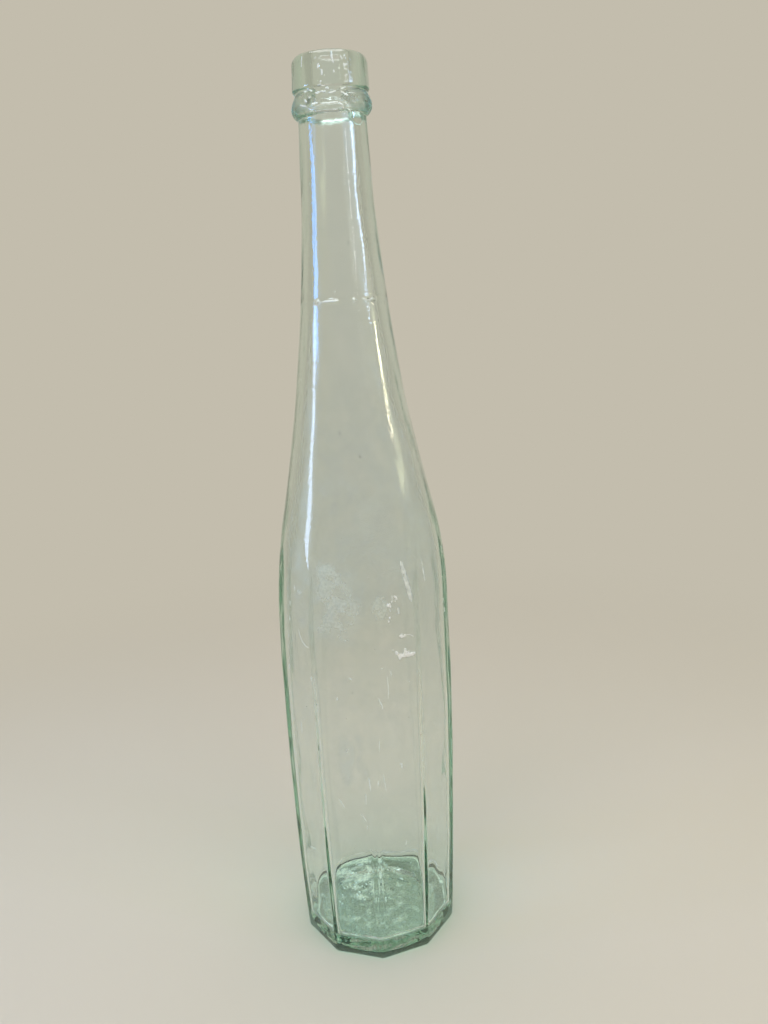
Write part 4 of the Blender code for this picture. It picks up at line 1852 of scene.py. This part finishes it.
    # Painted highlights: matt white strokes where the lip's foot, the string ring and the neck's
    # bead glint.
    painted_glints: tuple[Stroke, ...] = (
        Stroke(((-43.8, 313.4), (-44.7, 310.4)), 0.16, 0.01, 0.2),
        Stroke(((4.9, 313.9), (4.5, 312.3), (6.7, 310.3)), 0.26, 0.01, 0.4),
        Stroke(((22.9, 312.9), (24.4, 312.3)), 0.36, 0.01, 0.8),
        Stroke(((21.2, 312.0), (22.0, 311.7)), 0.20, 0.01, 0.6),
        Stroke(((23.0, 310.3), (24.2, 309.5)), 0.42, 0.01, 0.8),
        Stroke(((23.7, 309.0), (25.0, 308.4)), 0.30, 0.01, 0.8),
        Stroke(((24.6, 307.4), (25.4, 306.8)), 0.40, 0.01, 0.8),
        Stroke(((25.0, 306.0), (25.8, 305.7)), 0.24, 0.01, 0.8),
        Stroke(((21.0, 305.4), (24.5, 305.0), (27.0, 305.6)), 0.22, 0.02, 0.6),
        Stroke(((-43.7, 304.1), (-43.7, 303.2), (-39.3, 303.7)), 0.24, 0.03, 0.6),
        Stroke(((-34.7, 303.8), (-28.6, 303.2)), 0.22, 0.03, 0.6),
        Stroke(((-24.7, 302.6), (-16.9, 302.7)), 0.30, 0.03, 0.5),
        Stroke(((-16.8, 302.9), (-6.6, 302.8)), 0.24, 0.03, 0.6),
        Stroke(((-7.4, 303.5), (-4.8, 304.0), (-2.3, 303.3)), 0.26, 0.03, 0.6),
        Stroke(((-18.9, 304.6), (-11.3, 304.6)), 0.20, 0.03, 0.6),
        Stroke(((-2.7, 302.2), (2.4, 302.4), (8.6, 302.8)), 0.28, 0.03, 0.5),
        Stroke(((15.9, 303.4), (20.5, 303.6), (25.1, 304.0)), 0.28, 0.03, 0.6),
        Stroke(((15.6, 302.6), (20.5, 302.1)), 0.24, 0.03, 0.6),
        Stroke(((19.5, 302.1), (25.6, 301.5)), 0.34, 0.03, 0.5),
        Stroke(((27.1, 302.2), (37.8, 302.2)), 0.13, 0.02, 0.4),
        Stroke(((-33.9, 301.6), (-31.0, 301.4)), 0.30, 0.03, 0.5),
        Stroke(((-40.9, 301.1), (-35.1, 300.2)), 0.26, 0.03, 0.6),
        Stroke(((-47.9, 299.7), (-41.9, 299.3), (-36.2, 298.9)), 0.22, 0.03, 0.6),
        Stroke(((-30.0, 299.5), (-20.2, 299.8)), 0.26, 0.03, 0.5),
        Stroke(((-15.5, 299.4), (-1.4, 299.4), (10.2, 299.7)), 0.18, 0.03, 0.5),
        Stroke(((10.5, 299.4), (16.7, 298.3)), 0.24, 0.03, 0.5),
        Stroke(((12.7, 298.0), (17.8, 297.4)), 0.28, 0.03, 0.5),
        Stroke(((-27.1, 297.2), (-8.6, 297.2), (14.4, 297.2)), 0.24, 0.03, 0.4),
        Stroke(((20.3, 299.0), (22.6, 298.9)), 0.22, 0.03, 0.5),
        Stroke(((25.3, 298.2), (29.8, 298.1)), 0.20, 0.03, 0.5),
        Stroke(((27.1, 297.3), (31.6, 297.1)), 0.20, 0.03, 0.5),
        Stroke(((-35.6, 240.2), (-33.4, 241.4), (-30.8, 240.9), (-29.4, 239.9)), 0.26, 0.03, 0.6),
        Stroke(((-34.6, 239.8), (-31.0, 240.0), (-26.0, 240.6)), 0.34, 0.03, 0.7),
        Stroke(((-28.0, 240.6), (-16.0, 240.8), (-5.7, 240.9)), 0.34, 0.03, 0.5),
        Stroke(((-20.0, 241.5), (-13.0, 241.6)), 0.16, 0.02, 0.5),
        Stroke(((10.8, 241.3), (13.5, 240.9)), 0.36, 0.03, 0.6),
        Stroke(((12.0, 240.3), (13.9, 240.0)), 0.26, 0.03, 0.6),
        Stroke(((23.6, 241.2), (30.0, 240.5)), 0.24, 0.03, 0.5),
        Stroke(((28.0, 240.2), (33.0, 240.3), (37.9, 241.1)), 0.30, 0.03, 0.6),
        Stroke(((33.0, 241.6), (35.0, 242.4)), 0.26, 0.03, 0.6),
        Stroke(((32.5, 238.4), (33.7, 237.5)), 0.34, 0.03, 0.5),
        Stroke(((-11.1, 243.8), (-10.1, 243.4)), 0.20, 0.03, 0.5),
    )
    specks: tuple[tuple[float, float], ...] = (
        (-12.3, 179.3), (-13.1, 168.0), (-13.2, 165.4), (3.4, 152.2), (13.4, 152.7), (-45.2, 103.2),
        (5.5, 127.3), (5.3, 71.0), (33.8, 91.8), (37.1, 93.3), (-44.5, 103.4), (25.9, 99.6),
        (-15.3, 101.6), (-20.0, 61.8), (-15.7, 49.4), (36.5, 59.5),
    )

    def dust(self) -> tuple[Stroke, ...]:
        """The specks of dust, those in the photograph and the loose ones all round.

        Returns:
            One short stroke for each.
        """
        chance = np.random.default_rng(self.seed)
        found = []
        for turn, height in self.specks:
            path = (turn, height), (turn + self.speck_run, height - self.speck_drop)
            found.append(Stroke(path, *self.speck_size))
        for _ in range(self.loose_dust):
            turn, height = chance.uniform(-180, 180), chance.uniform(*self.dust_heights)
            run, rise = chance.uniform(*self.dust_runs), chance.uniform(*self.dust_rises)
            half = chance.uniform(*self.dust_halves)
            path = (turn, height), (turn + run, height + rise)
            found.append(Stroke(path, half, self.dust_thickness, self.dust_raggedness))
        return tuple(found)

    def build(self) -> None:
        """Build the five kinds of marks."""
        GlassMarks("dried_paste", MarkMatter.PASTE, self.paste, self.glass).build()
        # Wiped paste, and two painted reflections of light.
        GlassMarks("paste_smears_and_painted_streaks", MarkMatter.SMEAR, self.smears_and_painted_streaks, self.glass).build()
        GlassMarks("glass_scratches", MarkMatter.SCRATCH_AND_GLINT, self.scratches, self.glass).build()
        # Painted glints, in the same matt white as the scratches.
        GlassMarks("painted_glint_marks", MarkMatter.SCRATCH_AND_GLINT, self.painted_glints, self.glass).build()
        GlassMarks("dust_specks", MarkMatter.DUST, self.dust(), self.glass).build()


@dataclass(frozen=True)
class StudioPaint:
    """Matt emulsion on the cove: floor and wall in one pale warm grey.

    Round the bottle the floor is lit by the lamps and takes its shadow. Further out it passes
    into the even tone of the wall, which the glass shows as well as the camera does. That tone is
    dimmed to the sides and in front, painted shade that the glass mirrors along its edges.
    Mirrored in the glass or seen through it, the wall in front is painted cooler than it is: a
    painted reflection of daylight.
    """

    paint: str = "#C3BDAD"
    # Painted reflection: the cool tone that the wall in front shows only in the glass, for
    # daylight.
    painted_daylight_reflection: str = "#AEB5C0"
    lit_radius: float = 0.16
    even_radius: float = 0.46
    # The wall's glow is dimmed to the sides and in front: painted shade.
    side_share: float = 0.80
    side_span: tuple[float, float] = (0.42, 0.68)
    front_share: float = 0.85
    front_span: tuple[float, float] = (-0.68, -0.30)
    roughness: float = 0.9
    gloss: float = 0.2

    def material(self) -> bpy.types.Material:
        """Build the material.

        Returns:
            A matt floor that passes into an evenly toned wall.
        """
        material, tree = new_material("matt_emulsion_paint")
        place = add_node(tree, "ShaderNodeNewGeometry").outputs["Position"]
        out = add_node(
            tree, "ShaderNodeVectorMath", settings={"operation": "LENGTH"}, links={0: place}
        ).outputs["Value"]
        parts = add_node(tree, "ShaderNodeSeparateXYZ", links={"Vector": place})
        off_axis, away = reckoned(tree, "ABSOLUTE", parts.outputs["X"]), parts.outputs["Y"]
        even_share = mapped(tree, out, (self.lit_radius, self.even_radius), eased=True)
        # Painted shade: the wall's even glow is dimmed to the sides and in front, so the glass
        # mirrors darker edges.
        side = mapped(tree, off_axis, self.side_span, (1.0, self.side_share), eased=True)
        front = mapped(tree, away, self.front_span, (self.front_share, 1.0), eased=True)
        tone = reckoned(tree, "MULTIPLY", side, front)
        matt = add_node(
            tree, "ShaderNodeBsdfPrincipled",
            values={
                "Base Color": linear(self.paint), "Roughness": self.roughness,
                "Specular IOR Level": self.gloss,
            },
        )
        path = add_node(tree, "ShaderNodeLightPath")
        by_eye, by_glass = path.outputs["Is Camera Ray"], path.outputs["Is Glossy Ray"]
        # Painted reflection of daylight: the wall in front turns cooler where the glass mirrors it.
        cool = mapped(tree, away, self.front_span, (1.0, 0.0), eased=True)
        cool_in_glass = reckoned(tree, "MULTIPLY", cool, by_glass)
        colour = blended(tree, cool_in_glass, self.paint, self.painted_daylight_reflection)
        even = add_node(tree, "ShaderNodeEmission", links={"Color": colour, "Strength": tone})
        seen = reckoned(tree, "MAXIMUM", by_eye, by_glass)
        seen_through = reckoned(tree, "MAXIMUM", seen, path.outputs["Is Transmission Ray"])
        share = reckoned(tree, "MULTIPLY", seen_through, even_share)
        surface = add_node(
            tree, "ShaderNodeMixShader",
            links={0: share, 1: matt.outputs["BSDF"], 2: even.outputs["Emission"]},
        )
        add_node(
            tree, "ShaderNodeOutputMaterial", links={"Surface": surface.outputs["Shader"]}
        )
        material.cycles.emission_sampling = 'NONE'
        return material


class LampSight(Enum):
    """Where a lamp shows: mirrored in a glossy surface, and through or inside the glass."""

    EVERYWHERE = (True, True)
    MIRRORED = (True, False)
    UNSEEN = (False, False)


@dataclass(frozen=True)
class Softbox:
    """One soft studio lamp, aimed at a point."""

    name: str
    azimuth: float
    distance: float
    height: float
    width: float
    tall: float
    colour: str
    watts: float
    aim_height: float = 0.16
    sight: LampSight = LampSight.EVERYWHERE

    def build(self) -> bpy.types.Object:
        """Add the lamp to the scene.

        Returns:
            The lamp object.
        """
        data = bpy.data.lights.new(self.name, 'AREA')
        data.shape = 'RECTANGLE'
        data.size, data.size_y = self.width, self.tall
        data.color = linear(self.colour)[:3]
        data.energy = self.watts
        lamp = bpy.data.objects.new(self.name, data)
        turn = math.radians(self.azimuth)
        place = Vector((math.sin(turn), -math.cos(turn), 0.0)) * self.distance
        place.z = self.height
        aim = Vector((0.0, 0.0, self.aim_height)) - place
        lamp.location = place
        lamp.rotation_euler = aim.to_track_quat("-Z", "Y").to_euler()
        lamp.visible_camera = False
        lamp.visible_glossy, lamp.visible_transmission = self.sight.value
        bpy.context.scene.collection.objects.link(lamp)
        log.info("%s: %.1f W at %.0f degrees", self.name, self.watts, self.azimuth)
        return lamp


@dataclass(frozen=True)
class PhotoCamera:
    """The camera at the photograph's place, with its lens."""

    place: tuple[float, float, float] = (0.00291, -0.29796, 0.24578)
    right: tuple[float, float, float] = (0.99797, -0.03618, -0.05232)
    up: tuple[float, float, float] = (0.05987, 0.25636, 0.96473)
    back: tuple[float, float, float] = (-0.02149, -0.96590, 0.25801)
    lens: float = 30.234
    sensor: float = 36.0

    def build(self) -> bpy.types.Object:
        """Add the camera and make it the scene's own.

        Returns:
            The camera object.
        """
        data = bpy.data.cameras.new("photo_camera")
        data.lens, data.sensor_width = self.lens, self.sensor
        data.clip_start, data.clip_end = 0.01, 20.0
        camera = bpy.data.objects.new("photo_camera", data)
        turn = Matrix((self.right, self.up, self.back)).transposed().to_4x4()
        camera.matrix_world = Matrix.Translation(self.place) @ turn
        bpy.context.scene.collection.objects.link(camera)
        bpy.context.scene.camera = camera
        return camera


@dataclass(frozen=True)
class Studio:
    """Pale round cove, soft lamps and the camera."""

    floor_radius: float = 0.60
    bend_radius: float = 0.15
    wall_height: float = 1.30
    sides: int = 96
    bend_steps: int = 12
    floor_shares: tuple[float, ...] = (0.25, 0.5, 0.75, 1.0)
    lamps: tuple[Softbox, ...] = (
        Softbox("overhead_softbox", 180.0, 0.05, 1.28, 0.80, 0.80, "#FAF9FD", 7.3),
        Softbox(
            "left_fill_softbox", -35.0, 0.62, 0.75, 0.50, 0.50, "#FAF9FD", 2.4, 0.12,
            LampSight.UNSEEN,
        ),
        Softbox(
            "right_fill_softbox", 40.0, 0.62, 0.75, 0.50, 0.50, "#FAF9FD", 1.9, 0.12,
            LampSight.UNSEEN,
        ),
        Softbox(
            "window_top_softbox", -78.0, 0.60, 0.366, 0.160, 0.132, "#52A4FF", 0.90, 0.25,
            LampSight.MIRRORED,
        ),
        Softbox(
            "window_foot_softbox", -80.0, 0.60, 0.225, 0.080, 0.19, "#C4DAFF", 0.52, 0.18,
            LampSight.MIRRORED,
        ),
        Softbox(
            "side_softbox", 64.0, 0.60, 0.42, 0.050, 0.14, "#B8D4FF", 0.50, 0.30, LampSight.MIRRORED
        ),
        Softbox(
            "high_side_softbox", 66.0, 0.60, 0.437, 0.130, 0.050, "#B6DDFF", 0.20, 0.30,
            LampSight.MIRRORED,
        ),
        Softbox("strip_softbox", 41.0, 0.60, 0.42, 0.010, 0.13, "#FFFFFF", 0.08, 0.30),
        Softbox(
            "warm_lamp", 78.0, 0.60, 0.297, 0.065, 0.024, "#FFF3CE", 0.21, 0.22, LampSight.MIRRORED
        ),
    )
    sky: str = "#8F8D88"
    sky_strength: float = 0.7

    def cove(self) -> bpy.types.Object:
        """Build the floor and wall as one turned sheet.

        Returns:
            The cove object.
        """
        profile = [(self.floor_radius * share, 0.0) for share in self.floor_shares]
        for angle in np.linspace(0, math.pi / 2, self.bend_steps)[1:]:
            out = self.floor_radius + self.bend_radius * math.sin(angle)
            profile.append((out, self.bend_radius * (1 - math.cos(angle))))
        profile.append((self.floor_radius + self.bend_radius, self.wall_height))
        points = [(0.0, 0.0, 0.0)]
        for radius, height in profile:
            for side in range(self.sides):
                turn = 2 * math.pi * side / self.sides
                points.append((radius * math.sin(turn), -radius * math.cos(turn), height))
        wall = ring_faces(len(profile), self.sides, 1, outwards=False)
        mesh = new_mesh("studio_cove", points, [*fan_faces(0, 1, self.sides), *wall])
        mesh.materials.append(StudioPaint().material())
        cove = bpy.data.objects.new("studio_cove", mesh)
        bpy.context.scene.collection.objects.link(cove)
        return cove

    def build(self) -> None:
        """Build the cove, the lamps, the sky and the camera."""
        self.cove()
        for lamp in self.lamps:
            lamp.build()
        world = bpy.data.worlds.new("studio_room")
        bpy.context.scene.world = world
        world.use_nodes = True
        backdrop = world.node_tree.nodes["Background"]
        backdrop.inputs["Color"].default_value = linear(self.sky)
        backdrop.inputs["Strength"].default_value = self.sky_strength
        PhotoCamera().build()
        scene = bpy.context.scene
        scene.view_settings.view_transform = 'Standard'
        scene.cycles.max_bounces = 24
        scene.cycles.glossy_bounces = 16
        scene.cycles.transmission_bounces = 24
        scene.cycles.transparent_max_bounces = 32
        log.info("studio: cove, %d lamps, camera", len(self.lamps))


def main() -> None:
    """Build the bottle and its studio in order."""
    glass = BottleGlass()
    glass.build()
    InnerHaze(glass).build()
    FloorDeposit(glass).build()
    DepositCrumbs(glass).build()
    OutsideWearAndGlints(glass).build()
    Studio().build()


if __name__ == "__main__":
    main()
